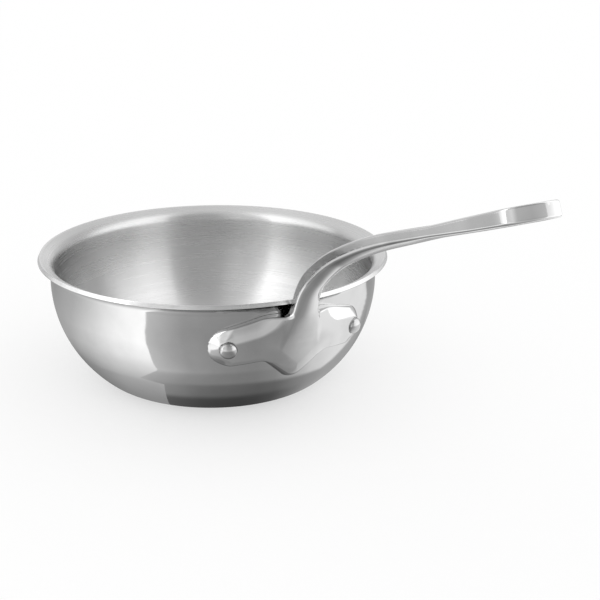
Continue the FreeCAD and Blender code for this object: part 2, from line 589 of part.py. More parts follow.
def make_rivet(label, side):
    body = doc.addObject("PartDesign::Body", label)
    sketch = sketch_on(body, "XZ_Plane", "half_rivet")
    cooking = "(%s - %s - Sizes.rivet_clearance)" % (belly_radius, wall)
    under, seat = number(cooking), number(head_seat)
    wide, shank = number("Sizes.inner_head_radius"), number("Sizes.shank_radius")
    brim = math.degrees(math.acos(wide / under))
    neck = math.degrees(math.acos(shank / under))
    low = under - number("Sizes.inner_head_height")
    brim_z = under * math.sin(math.radians(brim))
    rim_z = brim_z - number("Sizes.inner_head_side")
    cap = number("Sizes.outer_head_radius")
    cap_z = seat + number("Sizes.outer_head_side")
    crown = seat + number("Sizes.outer_head_height")

    def dome(edge_radius, height):
        return (edge_radius ** 2 + height ** 2) / (2 * height)

    inner_dome, outer_dome = dome(wide, rim_z - low), dome(cap, crown - cap_z)
    inner_open = math.degrees(math.asin(wide / inner_dome))
    outer_open = math.degrees(math.asin(cap / outer_dome))
    axis = line(sketch, (0, crown), (0, low))
    inner_cap = arc(sketch, (0, low + inner_dome), inner_dome, -90, inner_open - 90)
    inner_side = line(sketch, (wide, rim_z), (wide, brim_z))
    underside = arc(sketch, (0, 0), under, brim, neck)
    body_side = line(sketch, (shank, under * math.sin(math.radians(neck))), (shank, seat))
    ledge = line(sketch, (shank, seat), (cap, seat))
    outer_side = line(sketch, (cap, seat), (cap, cap_z))
    outer_cap = arc(sketch, (0, crown - outer_dome), outer_dome, 90 - outer_open, 90)
    ring = [axis, inner_cap, inner_side, underside, body_side, ledge, outer_side, outer_cap]
    for first, second in zip(ring, ring[1:] + ring[:1]):
        rule(sketch, "Coincident", first, "end", second, "start")
    for upright in (inner_side, body_side, outer_side):
        rule(sketch, "Vertical", upright)
    rule(sketch, "Horizontal", ledge)
    for domed in (inner_cap, outer_cap):
        rule(sketch, "PointOnObject", domed, "centre", "upright")
    rule(sketch, "PointOnObject", axis, "start", "upright")
    rule(sketch, "PointOnObject", axis, "end", "upright")
    rule(sketch, "Coincident", underside, "centre", "origin", "start")
    size(sketch, "cooking", cooking, "Radius", underside)
    inner_crown = "%s - Sizes.inner_head_height" % cooking
    size(sketch, "inner_crown", inner_crown, "DistanceY", "origin", "start", axis, "end")
    inner_edge = ("DistanceX", "origin", "start", inner_side, "start")
    size(sketch, "inner_head", "Sizes.inner_head_radius", *inner_edge)
    size(sketch, "inner_side", "Sizes.inner_head_side", "Distance", inner_side)
    size(sketch, "shank", "Sizes.shank_radius", "DistanceX", "origin", "start", body_side, "start")
    size(sketch, "seat", head_seat, "DistanceY", "origin", "start", ledge, "start")
    outer_edge = ("DistanceX", "origin", "start", outer_side, "start")
    size(sketch, "outer_head", "Sizes.outer_head_radius", *outer_edge)
    size(sketch, "outer_side", "Sizes.outer_head_side", "Distance", outer_side)
    outer_crown = "%s + Sizes.outer_head_height" % head_seat
    size(sketch, "outer_crown", outer_crown, "DistanceY", "origin", "start", axis, "start")
    turned = body.newObject("PartDesign::Revolution", "turned_rivet")
    turned.Profile = sketch
    turned.ReferenceAxis = (sketch, ["V_Axis"])
    turned.Angle = 360
    aim(body, side, "0")
    return body


pieces = []
depth = "0"
for sheet_name in PLIES:
    below = "(%s + Sizes.%s)" % (depth, sheet_name)
    pieces.append(make_ply(sheet_name + "_ply", depth, below))
    depth = below
pieces.append(make_handle())
pieces.append(make_rivet("rivet_left", -1))
pieces.append(make_rivet("rivet_right", 1))
doc.recompute()

# Every object is sound and every cut took material away before anything is written.
CUTS = ("PartDesign::Pocket", "PartDesign::Mirrored", "PartDesign::SubtractiveCylinder")
for thing in doc.Objects:
    if "Invalid" in thing.State or "Error" in thing.State:
        raise RuntimeError("%s failed: %s" % (thing.Label, thing.getStatusString()))
    if thing.TypeId in CUTS and thing.Shape.Volume >= thing.BaseFeature.Shape.Volume:
        raise RuntimeError("%s cuts nothing" % thing.Label)
for piece in pieces:
    if piece.Shape.isNull() or not piece.Shape.isValid() or len(piece.Shape.Solids) != 1:
        raise RuntimeError("%s is not one sound solid" % piece.Label)

os.makedirs("parts", exist_ok=True)
for piece in pieces:
    piece.Shape.exportStep("parts/%s.step" % piece.Label)
    print("%s: %.1f cubic millimetres" % (piece.Label, piece.Shape.Volume))
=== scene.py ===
import math
import bmesh
import bpy
import numpy as np
from mathutils import Matrix


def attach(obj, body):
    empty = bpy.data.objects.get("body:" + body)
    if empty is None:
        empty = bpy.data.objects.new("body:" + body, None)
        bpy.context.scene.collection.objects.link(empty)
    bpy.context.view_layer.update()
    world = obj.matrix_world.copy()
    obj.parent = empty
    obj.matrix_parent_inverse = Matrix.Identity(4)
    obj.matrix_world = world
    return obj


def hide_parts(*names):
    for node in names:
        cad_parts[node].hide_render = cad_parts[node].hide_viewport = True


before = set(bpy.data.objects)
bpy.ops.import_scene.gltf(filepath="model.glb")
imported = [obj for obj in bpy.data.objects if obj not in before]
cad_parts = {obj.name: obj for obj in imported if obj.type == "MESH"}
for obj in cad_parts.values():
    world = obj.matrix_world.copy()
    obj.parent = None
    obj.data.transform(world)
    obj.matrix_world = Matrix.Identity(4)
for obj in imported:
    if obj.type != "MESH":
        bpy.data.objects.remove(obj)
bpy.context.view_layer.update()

# Outer steel sheet
# The outside of the bowl: half a millimetre of stainless steel, bonded to the sheets inside it, pressed to a
# round belly with a flared pouring lip, trimmed at the rim, and mirror polished while it turns.
MM = 0.001
QUARTER = math.pi / 2
STEEL_THICKNESS = 0.5 * MM
ALLOY_THICKNESS = 0.35 * MM
CORE_THICKNESS = 0.9 * MM
WALL = 2 * STEEL_THICKNESS + 2 * ALLOY_THICKNESS + CORE_THICKNESS
RIM_RADIUS = 110 * MM
RIM_HEIGHT = 82 * MM
WALL_RADIUS = 102.6 * MM
UPRIGHT_WALL = 6.5 * MM
LIP_RADIUS = 5 * MM
LIP_BEND = math.radians(65)
BASE_RADIUS = 57.5 * MM
CORNER_RADIUS = 25.5 * MM
OUTER_RIM_EASE = 0.15 * MM
BONDED_EDGE_EASE = 0.02 * MM
FLAT_PIECES = 5
BEND_PIECES = 16
BELLY_PIECES = 32
TURNED_SEGMENTS = 192
SHARP_ANGLE = math.radians(40)
WELD_DISTANCE = 0.001 * MM

# The flare runs straight from the lip's bend to the rim. Under the bend the wall stands upright for a
# little, and the belly is the arc that leads from there into the corner of the base.
FLARE = (RIM_RADIUS - WALL_RADIUS - LIP_RADIUS * (1 - math.cos(LIP_BEND))) / math.sin(LIP_BEND)
LIP_Z = RIM_HEIGHT - (LIP_RADIUS + WALL) * math.sin(LIP_BEND) - FLARE * math.cos(LIP_BEND)
BELLY_Z = LIP_Z - UPRIGHT_WALL
belly_run = WALL_RADIUS - BASE_RADIUS
belly_rise = BELLY_Z - CORNER_RADIUS
BELLY_RADIUS = (belly_run ** 2 + belly_rise ** 2 - CORNER_RADIUS ** 2) / (2 * (belly_run - CORNER_RADIUS))
BELLY_X = WALL_RADIUS - BELLY_RADIUS


def arc(middle, radius, first, last, pieces):
    """Points of an arc between two angles, with both ends."""
    turns = np.linspace(first, last, pieces + 1)
    return np.stack([middle[0] + radius * np.cos(turns), middle[1] + radius * np.sin(turns)], axis=1)


def pressed_line(depth):
    """The bowl's section at a depth below its outside, as radius and height from the axis out to the rim."""
    belly_foot = math.atan2(CORNER_RADIUS - BELLY_Z, BASE_RADIUS - BELLY_X)
    flat_radii = np.linspace(0, BASE_RADIUS, FLAT_PIECES + 1)[:-1]
    flat = np.stack([flat_radii, np.full(FLAT_PIECES, depth)], axis=1)
    corner = arc((BASE_RADIUS, CORNER_RADIUS), CORNER_RADIUS - depth, -QUARTER, belly_foot, BEND_PIECES)
    belly = arc((BELLY_X, BELLY_Z), BELLY_RADIUS - depth, belly_foot, 0, BELLY_PIECES)[1:]
    lip_middle = (WALL_RADIUS + LIP_RADIUS, LIP_Z)
    lip = arc(lip_middle, LIP_RADIUS + depth, math.pi, math.pi - LIP_BEND, BEND_PIECES)
    rim = lip[-1] + FLARE * np.array((math.sin(LIP_BEND), math.cos(LIP_BEND)))
    return np.concatenate([flat, corner, belly, lip, [(lip[-1] + rim) / 2, rim]])


def eased(corner, before, after, size, pieces=4):
    """Points that round a corner of a section, from the side before it to the side after it."""
    start = corner + size * (before - corner) / np.linalg.norm(before - corner)
    end = corner + size * (after - corner) / np.linalg.norm(after - corner)
    t = np.linspace(0, 1, pieces + 1)[:, None]
    return (1 - t) ** 2 * start + 2 * t * (1 - t) * corner + t ** 2 * end


def sheet_section(outer_depth, inner_depth, outer_ease, inner_ease):
    """A sheet's section from the axis over its inside, its trimmed edge and its outside back to the axis.

    Turned about the axis in that order, the faces point outwards.
    """
    out = pressed_line(outer_depth)
    back = pressed_line(inner_depth)
    points = [out[:-1], eased(out[-1], out[-2], back[-1], outer_ease),
              eased(back[-1], out[-1], back[-2], inner_ease), back[:-1][::-1]]
    return np.concatenate(points)[::-1]


def add(tree, kind, links=(), **settings):
    """Adds a node with its settings. Links give each input a value or another node's output."""
    made = tree.nodes.new(kind)
    for name, value in settings.items():
        setattr(made, name, value)
    for name, source in dict(links).items():
        if isinstance(source, bpy.types.NodeSocket):
            tree.links.new(source, made.inputs[name])
        else:
            made.inputs[name].default_value = source
    return made


def new_tree(name, inputs):
    """An empty geometry tree with named inputs, given as names and socket kinds."""
    tree = bpy.data.node_groups.new(name, "GeometryNodeTree")
    tree.interface.new_socket("Geometry", in_out="INPUT", socket_type="NodeSocketGeometry")
    for label, kind in inputs:
        tree.interface.new_socket(label, in_out="INPUT", socket_type=kind)
    tree.interface.new_socket("Geometry", in_out="OUTPUT", socket_type="NodeSocketGeometry")
    return tree


# The tree turns a section about Z. Each ring of a grid takes one point of the section.
turning = new_tree("turned about the axis", [
    ("Segments", "NodeSocketInt"), ("Sharp Angle", "NodeSocketFloat"), ("Material", "NodeSocketMaterial")])
given = add(turning, "NodeGroupInput").outputs
section_size = add(turning, "GeometryNodeAttributeDomainSize", {"Geometry": given["Geometry"]})
columns = add(turning, "ShaderNodeMath", {0: given["Segments"], 1: 1.0}, operation="ADD").outputs[0]
grid = add(turning, "GeometryNodeMeshGrid",
           {"Vertices X": section_size.outputs["Point Count"], "Vertices Y": columns})
index = add(turning, "GeometryNodeInputIndex").outputs[0]
ring = add(turning, "ShaderNodeMath", {0: index, 1: columns}, operation="DIVIDE").outputs[0]
ring = add(turning, "ShaderNodeMath", {0: ring}, operation="FLOOR").outputs[0]
column = add(turning, "ShaderNodeMath", {0: index, 1: columns}, operation="MODULO").outputs[0]
share = add(turning, "ShaderNodeMath", {0: column, 1: given["Segments"]}, operation="DIVIDE").outputs[0]
angle = add(turning, "ShaderNodeMath", {0: share, 1: 2 * math.pi}, operation="MULTIPLY").outputs[0]
position = add(turning, "GeometryNodeInputPosition").outputs[0]
on_section = add(turning, "GeometryNodeSampleIndex",
                 {"Geometry": given["Geometry"], "Value": position, "Index": ring}, data_type="FLOAT_VECTOR")
turned = add(turning, "ShaderNodeVectorRotate", {"Vector": on_section.outputs["Value"], "Angle": angle},
             rotation_type="Z_AXIS")
placed = add(turning, "GeometryNodeSetPosition",
             {"Geometry": grid.outputs["Mesh"], "Position": turned.outputs["Vector"]})
closed = add(turning, "GeometryNodeMergeByDistance",
             {"Geometry": placed.outputs["Geometry"], "Distance": WELD_DISTANCE})
smooth = add(turning, "GeometryNodeSetShadeSmooth", {"Geometry": closed.outputs["Geometry"]}, domain="FACE")
bend = add(turning, "GeometryNodeInputMeshEdgeAngle").outputs["Unsigned Angle"]
sharp = add(turning, "ShaderNodeMath", {0: bend, 1: given["Sharp Angle"]}, operation="GREATER_THAN")
creased = add(turning, "GeometryNodeSetShadeSmooth",
              {"Geometry": smooth.outputs["Geometry"], "Selection": sharp.outputs[0], "Shade Smooth": False},
              domain="EDGE")
real = add(turning, "GeometryNodeRealizeInstances", {"Geometry": creased.outputs["Geometry"]})
finished = add(turning, "GeometryNodeSetMaterial",
               {"Geometry": real.outputs["Geometry"], "Material": given["Material"]})
add(turning, "NodeGroupOutput", {"Geometry": finished.outputs["Geometry"]})


def made_by(tree, name, mesh, values):
    """An object with the plain mesh that a tree makes from a section's mesh."""
    source = bpy.data.objects.new(name + "_section", mesh)
    bpy.context.collection.objects.link(source)
    modifier = source.modifiers.new("made", "NODES")
    modifier.node_group = tree
    for item in tree.interface.items_tree:
        if item.name in values:
            modifier[item.identifier] = values[item.name]
    result = bpy.data.meshes.new_from_object(source.evaluated_get(bpy.context.evaluated_depsgraph_get()))
    source.modifiers.remove(modifier)
    bpy.data.objects.remove(source)
    made = bpy.data.objects.new(name, result)
    bpy.context.collection.objects.link(made)
    return made


def section_mesh(points):
    """A section as a line of points in the XZ plane."""
    mesh = bpy.data.meshes.new("section")
    places = [(float(r), 0.0, float(z)) for r, z in points]
    mesh.from_pydata(places, [(i, i + 1) for i in range(len(places) - 1)], [])
    return mesh


def linear(colour):
    """A colour in sRGB hex as linear red, green, blue and alpha."""
    parts = [int(colour[i:i + 2], 16) / 255 for i in (1, 3, 5)]
    return [p / 12.92 if p <= 0.04045 else ((p + 0.055) / 1.055) ** 2.4 for p in parts] + [1.0]


def new_metal(name):
    """A metal's material with an empty tree, its Principled BSDF and its output."""
    material = bpy.data.materials.new(name)
    material.use_nodes = True
    material.node_tree.nodes.clear()
    bsdf = add(material.node_tree, "ShaderNodeBsdfPrincipled", {"Metallic": 1.0})
    add(material.node_tree, "ShaderNodeOutputMaterial", {"Surface": bsdf.outputs["BSDF"]})
    return material, material.node_tree, bsdf


def dress(tree, bsdf, colour, roughness, relief):
    """Links a metal's colour, roughness and relief to what makes them."""
    for label, source in [("Base Color", colour), ("Roughness", roughness), ("Normal", relief)]:
        tree.links.new(source, bsdf.inputs[label])


def round_the_axis(tree, spacing, length):
    """Streaks round the bowl's axis, as far apart and as long as given, with the radius and the height."""
    place = add(tree, "ShaderNodeTexCoord").outputs["Object"]
    parts = add(tree, "ShaderNodeSeparateXYZ", {"Vector": place}).outputs
    level = add(tree, "ShaderNodeCombineXYZ", {"X": parts["X"], "Y": parts["Y"]}).outputs[0]
    radius = add(tree, "ShaderNodeVectorMath", {0: level}, operation="LENGTH").outputs["Value"]
    way = add(tree, "ShaderNodeVectorMath", {0: level}, operation="NORMALIZE").outputs["Vector"]
    hoop = add(tree, "ShaderNodeVectorMath", {0: way, "Scale": RIM_RADIUS / length}, operation="SCALE")
    rise = add(tree, "ShaderNodeMath", {0: parts["Z"], 1: spacing}, operation="DIVIDE").outputs[0]
    lift = add(tree, "ShaderNodeCombineXYZ", {"Z": rise}).outputs[0]
    spot = add(tree, "ShaderNodeVectorMath", {0: hoop.outputs["Vector"], 1: lift}, operation="ADD")
    across = add(tree, "ShaderNodeMath", {0: radius, 1: spacing}, operation="DIVIDE").outputs[0]
    streaks = add(tree, "ShaderNodeTexNoise",
                  {"Vector": spot.outputs["Vector"], "W": across, "Scale": 1.0, "Detail": 2.0},
                  noise_dimensions="4D")
    return streaks.outputs["Fac"], radius, parts["Z"]


def blotches(tree, size, detail):
    """Soft uneven patches of about a size, all through the piece."""
    place = add(tree, "ShaderNodeTexCoord").outputs["Object"]
    patches = add(tree, "ShaderNodeTexNoise", {"Vector": place, "Scale": 1 / size, "Detail": detail})
    return patches.outputs["Fac"]


# Mirror polished stainless sheet: a neutral grey mirror. The buffing wheel left faint hoops round the bowl,
# hands left dull smudges, and the hob has scuffed the foot. The rim's last millimetre is painted lighter, a
# painted highlight where cloths rub it. Real hoops lie a tenth of a millimetre apart, so they are drawn
# coarser here to show.
HOOP_SPACING = 1.5 * MM
HOOP_LENGTH = 90 * MM
HOOP_DEPTH = 0.004 * MM
HOOP_ROUGHNESS = 0.03
SMUDGE_SIZE = 24 * MM
SCUFF_SIZE = 2 * MM
SCUFF_HEIGHT = 4 * MM
SCUFF_ROUGHNESS = 0.45
MIRROR_RUB_AND_HIGHLIGHT_START = RIM_RADIUS - 1 * MM
MIRROR_RUB_AND_HIGHLIGHT_END = RIM_RADIUS - 0.2 * MM
MIRROR_ROUGHNESS = 0.06
SMUDGED_ROUGHNESS = 0.1
MIRROR_STEEL = "#cccccc"
SMUDGED_STEEL = "#c3c3c3"
SCUFFED_STEEL = "#a8a8a8"
RUBBED_AND_HIGHLIT_STEEL = "#d2d2d2"
BUMP_STRENGTH = 0.5
polished_sheet, tree, bsdf = new_metal("mirror polished stainless sheet")
hoops, radius, height = round_the_axis(tree, HOOP_SPACING, HOOP_LENGTH)
smudges = blotches(tree, SMUDGE_SIZE, detail=5.0)
# Noise lies mostly between 0.3 and 0.7. A patch begins at one value of it and is full at a higher one.
smudged = add(tree, "ShaderNodeMapRange", {"Value": smudges, "From Min": 0.42, "From Max": 0.72}).outputs[0]
low = add(tree, "ShaderNodeMapRange",
          {"Value": height, "From Min": SCUFF_HEIGHT, "From Max": 0.0}).outputs[0]
scuffs = blotches(tree, SCUFF_SIZE, detail=4.0)
scuffed = add(tree, "ShaderNodeMath", {0: low, 1: scuffs}, operation="MULTIPLY").outputs[0]
# The rim's last millimetre is painted lighter: a painted highlight where cloths rub it.
rubbed_and_highlit = add(tree, "ShaderNodeMapRange",
             {"Value": radius, "From Min": MIRROR_RUB_AND_HIGHLIGHT_START, "From Max": MIRROR_RUB_AND_HIGHLIGHT_END}).outputs[0]
# Inputs 0, 6 and 7 of a mix of colours are its share and its two colours, and output 2 is the mixed one.
steel = linear(MIRROR_STEEL)
for share, colour in [(smudged, SMUDGED_STEEL), (scuffed, SCUFFED_STEEL), (rubbed_and_highlit, RUBBED_AND_HIGHLIT_STEEL)]:
    steel = add(tree, "ShaderNodeMix", {0: share, 6: steel, 7: linear(colour)}, data_type="RGBA").outputs[2]
dull = add(tree, "ShaderNodeMapRange",
           {"Value": smudged, "To Min": MIRROR_ROUGHNESS, "To Max": SMUDGED_ROUGHNESS}).outputs[0]
for share, more in [(hoops, HOOP_ROUGHNESS), (scuffed, SCUFF_ROUGHNESS)]:
    dull = add(tree, "ShaderNodeMath", {0: share, 1: more, 2: dull}, operation="MULTIPLY_ADD").outputs[0]
relief = add(tree, "ShaderNodeBump", {"Strength": BUMP_STRENGTH, "Distance": HOOP_DEPTH, "Height": hoops})
dress(tree, bsdf, steel, dull, relief.outputs[0])

section = section_mesh(sheet_section(0, STEEL_THICKNESS, OUTER_RIM_EASE, BONDED_EDGE_EASE))
outer_sheet = made_by(turning, "outer_steel_sheet", section, {
    "Segments": TURNED_SEGMENTS, "Sharp Angle": SHARP_ANGLE, "Material": polished_sheet})
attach(outer_sheet, "root")
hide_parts("outer_steel_ply")

# Alloy and aluminium sheets
# Three sheets of aluminium between the steels, roll bonded to them before the bowl is pressed, carry the
# heat up the wall. Only their trimmed edges show, as a paler line round the rim.

# Trimmed aluminium sheet: paler and softer than the steel beside it, with the trimming tool's hoops along
# the edge and a little grey oxide in patches. Real tool marks are half as far apart, so they are drawn
# coarser here to show.
TRIM_SPACING = 0.12 * MM
TRIM_LENGTH = 12 * MM
TRIM_DEPTH = 0.006 * MM
OXIDE_SIZE = 9 * MM
TRIMMED_ROUGHNESS = 0.27
OXIDE_ROUGHNESS = 0.4
TRIMMED_ALUMINIUM = "#dadada"
TOOL_MARKS = "#cecece"
OXIDE = "#c0c0c0"
aluminium, tree, bsdf = new_metal("trimmed aluminium sheet")
tool_marks = round_the_axis(tree, TRIM_SPACING, TRIM_LENGTH)[0]
patches = blotches(tree, OXIDE_SIZE, detail=4.0)
oxide = add(tree, "ShaderNodeMapRange", {"Value": patches, "From Min": 0.4, "From Max": 0.75}).outputs[0]
alloy = linear(TRIMMED_ALUMINIUM)
for share, colour in [(tool_marks, TOOL_MARKS), (oxide, OXIDE)]:
    alloy = add(tree, "ShaderNodeMix", {0: share, 6: alloy, 7: linear(colour)}, data_type="RGBA").outputs[2]
dull = add(tree, "ShaderNodeMapRange",
           {"Value": oxide, "To Min": TRIMMED_ROUGHNESS, "To Max": OXIDE_ROUGHNESS}).outputs[0]
relief = add(tree, "ShaderNodeBump",
             {"Strength": BUMP_STRENGTH, "Distance": TRIM_DEPTH, "Height": tool_marks})
dress(tree, bsdf, alloy, dull, relief.outputs[0])

depth = STEEL_THICKNESS
for name, node, thickness in [
        ("outer_alloy_sheet", "outer_alloy_ply", ALLOY_THICKNESS),
        ("aluminium_core_sheet", "aluminium_core_ply", CORE_THICKNESS),
        ("inner_alloy_sheet", "inner_alloy_ply", ALLOY_THICKNESS)]:
    section = section_mesh(sheet_section(depth, depth + thickness, BONDED_EDGE_EASE, BONDED_EDGE_EASE))
    piece = made_by(turning, name, section, {
        "Segments": TURNED_SEGMENTS, "Sharp Angle": SHARP_ANGLE, "Material": aluminium})
    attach(piece, "root")
    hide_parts(node)
    depth += thickness

# Inner steel sheet
# The inside of the bowl: half a millimetre of stainless steel, bonded to the aluminium under it, and satin
# brushed round the bowl while it turns on a chuck.
INNER_RIM_EASE = 0.3 * MM

# Satin brushed stainless sheet: the grain runs round the bowl and draws each light out up and down the wall.
# A whisk has worn smoother bands into it, and cloths have rubbed the rim smoother, with its edge painted
# lighter as a painted highlight. Real grain is about 0.05 mm wide, so it is drawn coarser here to show.
GRAIN_SPACING = 0.45 * MM
GRAIN_LENGTH = 40 * MM
GRAIN_DEPTH = 0.0005 * MM
WHISK_SPACING = 7 * MM
WHISK_LENGTH = 150 * MM
SATIN_RUB_AND_HIGHLIGHT_START = RIM_RADIUS - 2.5 * MM
SATIN_RUB_AND_HIGHLIGHT_END = RIM_RADIUS - 1 * MM
SATIN_ROUGHNESS = 0.27
GRAIN_ROUGHNESS = 0.3
WHISKED_SMOOTHER = -0.03
RUBBED_SMOOTHER = -0.08
SATIN_STEEL = "#d1d1d1"
GRAIN_STEEL = "#cbcbcb"
WHISKED_STEEL = "#d0d0d0"
RUBBED_AND_HIGHLIT_SATIN = "#d4d4d4"
brushed_sheet, tree, bsdf = new_metal("satin brushed stainless sheet")
bsdf.inputs["Anisotropic"].default_value = 1.0
bsdf.inputs["Anisotropic Rotation"].default_value = 0.25
grain, radius = round_the_axis(tree, GRAIN_SPACING, GRAIN_LENGTH)[:2]
bands = round_the_axis(tree, WHISK_SPACING, WHISK_LENGTH)[0]
whisked = add(tree, "ShaderNodeMapRange", {"Value": bands, "From Min": 0.45, "From Max": 0.7}).outputs[0]
# The rim is rubbed smoother, and painted lighter as a painted highlight.
rubbed_and_highlit = add(tree, "ShaderNodeMapRange",
             {"Value": radius, "From Min": SATIN_RUB_AND_HIGHLIGHT_START, "From Max": SATIN_RUB_AND_HIGHLIGHT_END}).outputs[0]
satin = linear(SATIN_STEEL)
for share, colour in [(grain, GRAIN_STEEL), (whisked, WHISKED_STEEL), (rubbed_and_highlit, RUBBED_AND_HIGHLIT_SATIN)]:
    satin = add(tree, "ShaderNodeMix", {0: share, 6: satin, 7: linear(colour)}, data_type="RGBA").outputs[2]
dull = add(tree, "ShaderNodeMapRange",
           {"Value": grain, "From Min": 0.3, "From Max": 0.7,
            "To Min": SATIN_ROUGHNESS, "To Max": GRAIN_ROUGHNESS}).outputs[0]
for share, more in [(whisked, WHISKED_SMOOTHER), (rubbed_and_highlit, RUBBED_SMOOTHER)]:
    dull = add(tree, "ShaderNodeMath", {0: share, 1: more, 2: dull}, operation="MULTIPLY_ADD").outputs[0]
relief = add(tree, "ShaderNodeBump", {"Strength": BUMP_STRENGTH, "Distance": GRAIN_DEPTH, "Height": grain})
dress(tree, bsdf, satin, dull, relief.outputs[0])
tangent = add(tree, "ShaderNodeTangent", direction_type="RADIAL", axis="Z")
tree.links.new(tangent.outputs[0], bsdf.inputs["Tangent"])

section = section_mesh(sheet_section(WALL - STEEL_THICKNESS, WALL, BONDED_EDGE_EASE, INNER_RIM_EASE))
inner_sheet = made_by(turning, "inner_steel_sheet", section, {
    "Segments": TURNED_SEGMENTS, "Sharp Angle": SHARP_ANGLE, "Material": brushed_sheet})
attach(inner_sheet, "root")
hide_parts("inner_steel_ply")

# Handle
# One investment casting in stainless steel: a winged flange that lies on the belly under the lip, and an arm
# that rises out of it, clears the lip and runs out to a grip with a round end. Ground and polished all over.

# The rivets' places, and the hole and the flat seat that each has in the flange.
RIVET_HEIGHT = RIM_HEIGHT - 27 * MM
RIVET_BEARING = math.radians(23.2)
RIVET_TILT = math.asin((BELLY_Z - RIVET_HEIGHT) / BELLY_RADIUS)
RIVET_HOLE_RADIUS = 3.05 * MM
RIVET_HOLE_EDGE = 0.2 * MM
SEAT_RADIUS = 4.95 * MM
SEAT_DEPTH = 0.3 * MM
SEAT_EDGE = 0.5 * MM
# The flange's outline seen along the handle: a lower tip, a notch on each side of it, two wings and a top.
WING_RADIUS = 12 * MM
WING_SHIFT = 1.4 * MM
WING_DROP = 0.7 * MM
WING_SLOPE = math.radians(16)
TOP_RADIUS = 32 * MM
TOP_Z = LIP_Z - 0.8 * MM
NOTCH_TOP = RIVET_HEIGHT - 11 * MM
NOTCH_RADIUS = 6 * MM
TIP_Z = NOTCH_TOP - 14.8 * MM
TIP_RADIUS = 8 * MM
TIP_SLOPE = math.radians(41)
OUTLINE_PIECES = 20
# The flange's thickness over the bowl, and how its front falls away to its edges and to the wings' ends.
FLANGE_SEAT = 0.05 * MM
FLANGE_THICKNESS = 5.5 * MM
FLANGE_ROUND = 1 * MM
FLANGE_BACK_ROUND = 0.4 * MM
FLANGE_CROWN = 2.7 * MM
FLANGE_CROWN_RUN = 10.5 * MM
FLANGE_CROWN_POWER = 1.5
HEAD_SEAT = BELLY_RADIUS + FLANGE_THICKNESS - SEAT_DEPTH
WING_THICKNESS = 6.5 * MM
WING_END_SLOPE = 1.27
WING_END_RUN = 4.45 * MM
WING_END_EASE = 1 * MM
WING_END_FADE = 8 * MM
LOBE_ROUND = 3.5 * MM
LOBE_HALF = 20 * MM
LOBE_TOP = NOTCH_TOP + 4 * MM
LOBE_FADE = 6 * MM
RIDGE_HALF = 5 * MM
RIDGE_RUN = 22 * MM
RIDGE_POINTS = 40
# The arm's line: a straight neck, bends as radius and the rise that each leaves, and a straight grip.
ROOT_DROP = 36.7 * MM
NECK_DROP = 1.8 * MM
LIP_CLEARANCE = 0.6 * MM
NECK_THICKNESS = 8.4 * MM
BENDS = [(42 * MM, math.radians(44)), (136 * MM, math.radians(28.5)), (370 * MM, math.radians(20.3))]
GRIP_LENGTH = 103.5 * MM
# The arm's edges, its fade into the flange, the fillets between the two, and the hanging hole.
UPPER_EDGE = 1 * MM
LOWER_EDGE = 1.4 * MM
SIDE_DRAFT = 0.04
ROOT_FADE = 5 * MM
ROOT_FADE_RUN = 22 * MM
ROOT_FADE_LIMIT = 3
BACK_BLEND = 1 * MM
FRONT_BLEND = 4 * MM
BLEND_HEIGHTS = (0.4 * FLANGE_THICKNESS, 1.3 * FLANGE_THICKNESS)
END_WIDTH = 30 * MM
HANG_RADIUS = 4.5 * MM
HANG_EDGE = 1.2 * MM
# A crowned face is carried on past its edge to this share of its run.
PAST_EDGE = 1.2


def ahead(angle):
    """The direction of a line that rises at an angle, as reach and height."""
    return np.array((math.cos(angle), math.sin(angle)))


# The arm's middle line as straight runs and bends, each with how far along the arm it begins.
root_height = RIM_HEIGHT - ROOT_DROP
root_radius = BELLY_RADIUS + (FLANGE_SEAT + FLANGE_THICKNESS) / 2
root_reach = BELLY_X + math.sqrt(root_radius ** 2 - (BELLY_Z - root_height) ** 2)
lip_overhang = RIM_RADIUS - root_reach
neck_lean = (math.atan2(ROOT_DROP, lip_overhang)
             - math.asin((LIP_CLEARANCE + NECK_THICKNESS / 2) / math.hypot(lip_overhang, ROOT_DROP)))
neck_length = (ROOT_DROP - NECK_DROP) / math.sin(neck_lean)
neck_root = np.array((root_reach, root_height))
straights = [(neck_root, neck_lean, neck_length, 0.0)]
curves = []
place = neck_root + ahead(neck_lean) * neck_length
rise = neck_lean
gone = neck_length
bend_ends = []
for bend_radius, next_rise in BENDS:
    middle = place + ahead(rise - QUARTER) * bend_radius
    curves.append((middle, bend_radius, rise, next_rise, gone))
    gone += bend_radius * (rise - next_rise)
    rise = next_rise
    place = middle + ahead(rise + QUARTER) * bend_radius
    bend_ends.append(gone)
straights.append((place, rise, GRIP_LENGTH, gone))
grip_rise = rise
grip_start = gone
arm_length = grip_start + GRIP_LENGTH
arm_end = place + ahead(grip_rise) * GRIP_LENGTH

# Stations along the arm, each with its width, its thickness and its underside's crown.
STATIONS = [
    (0, 30 * MM, 4 * MM, 0),
    (neck_length - 22 * MM, 21 * MM, 5.5 * MM, 1 * MM),
    (neck_length - 3.8 * MM, 16 * MM, NECK_THICKNESS, 2.6 * MM),
    (neck_length, 15.4 * MM, NECK_THICKNESS, 2.8 * MM),
    (bend_ends[0], 14 * MM, 10.6 * MM, 4 * MM),
    (grip_start, 15.5 * MM, 8.6 * MM, 2.7 * MM),
    (grip_start + 38.5 * MM, 19 * MM, 6.6 * MM, 1.2 * MM),
    (grip_start + 75 * MM, 23.5 * MM, 7.8 * MM, 0.7 * MM),
    (arm_length, END_WIDTH, 8.2 * MM, 0.5 * MM),
]
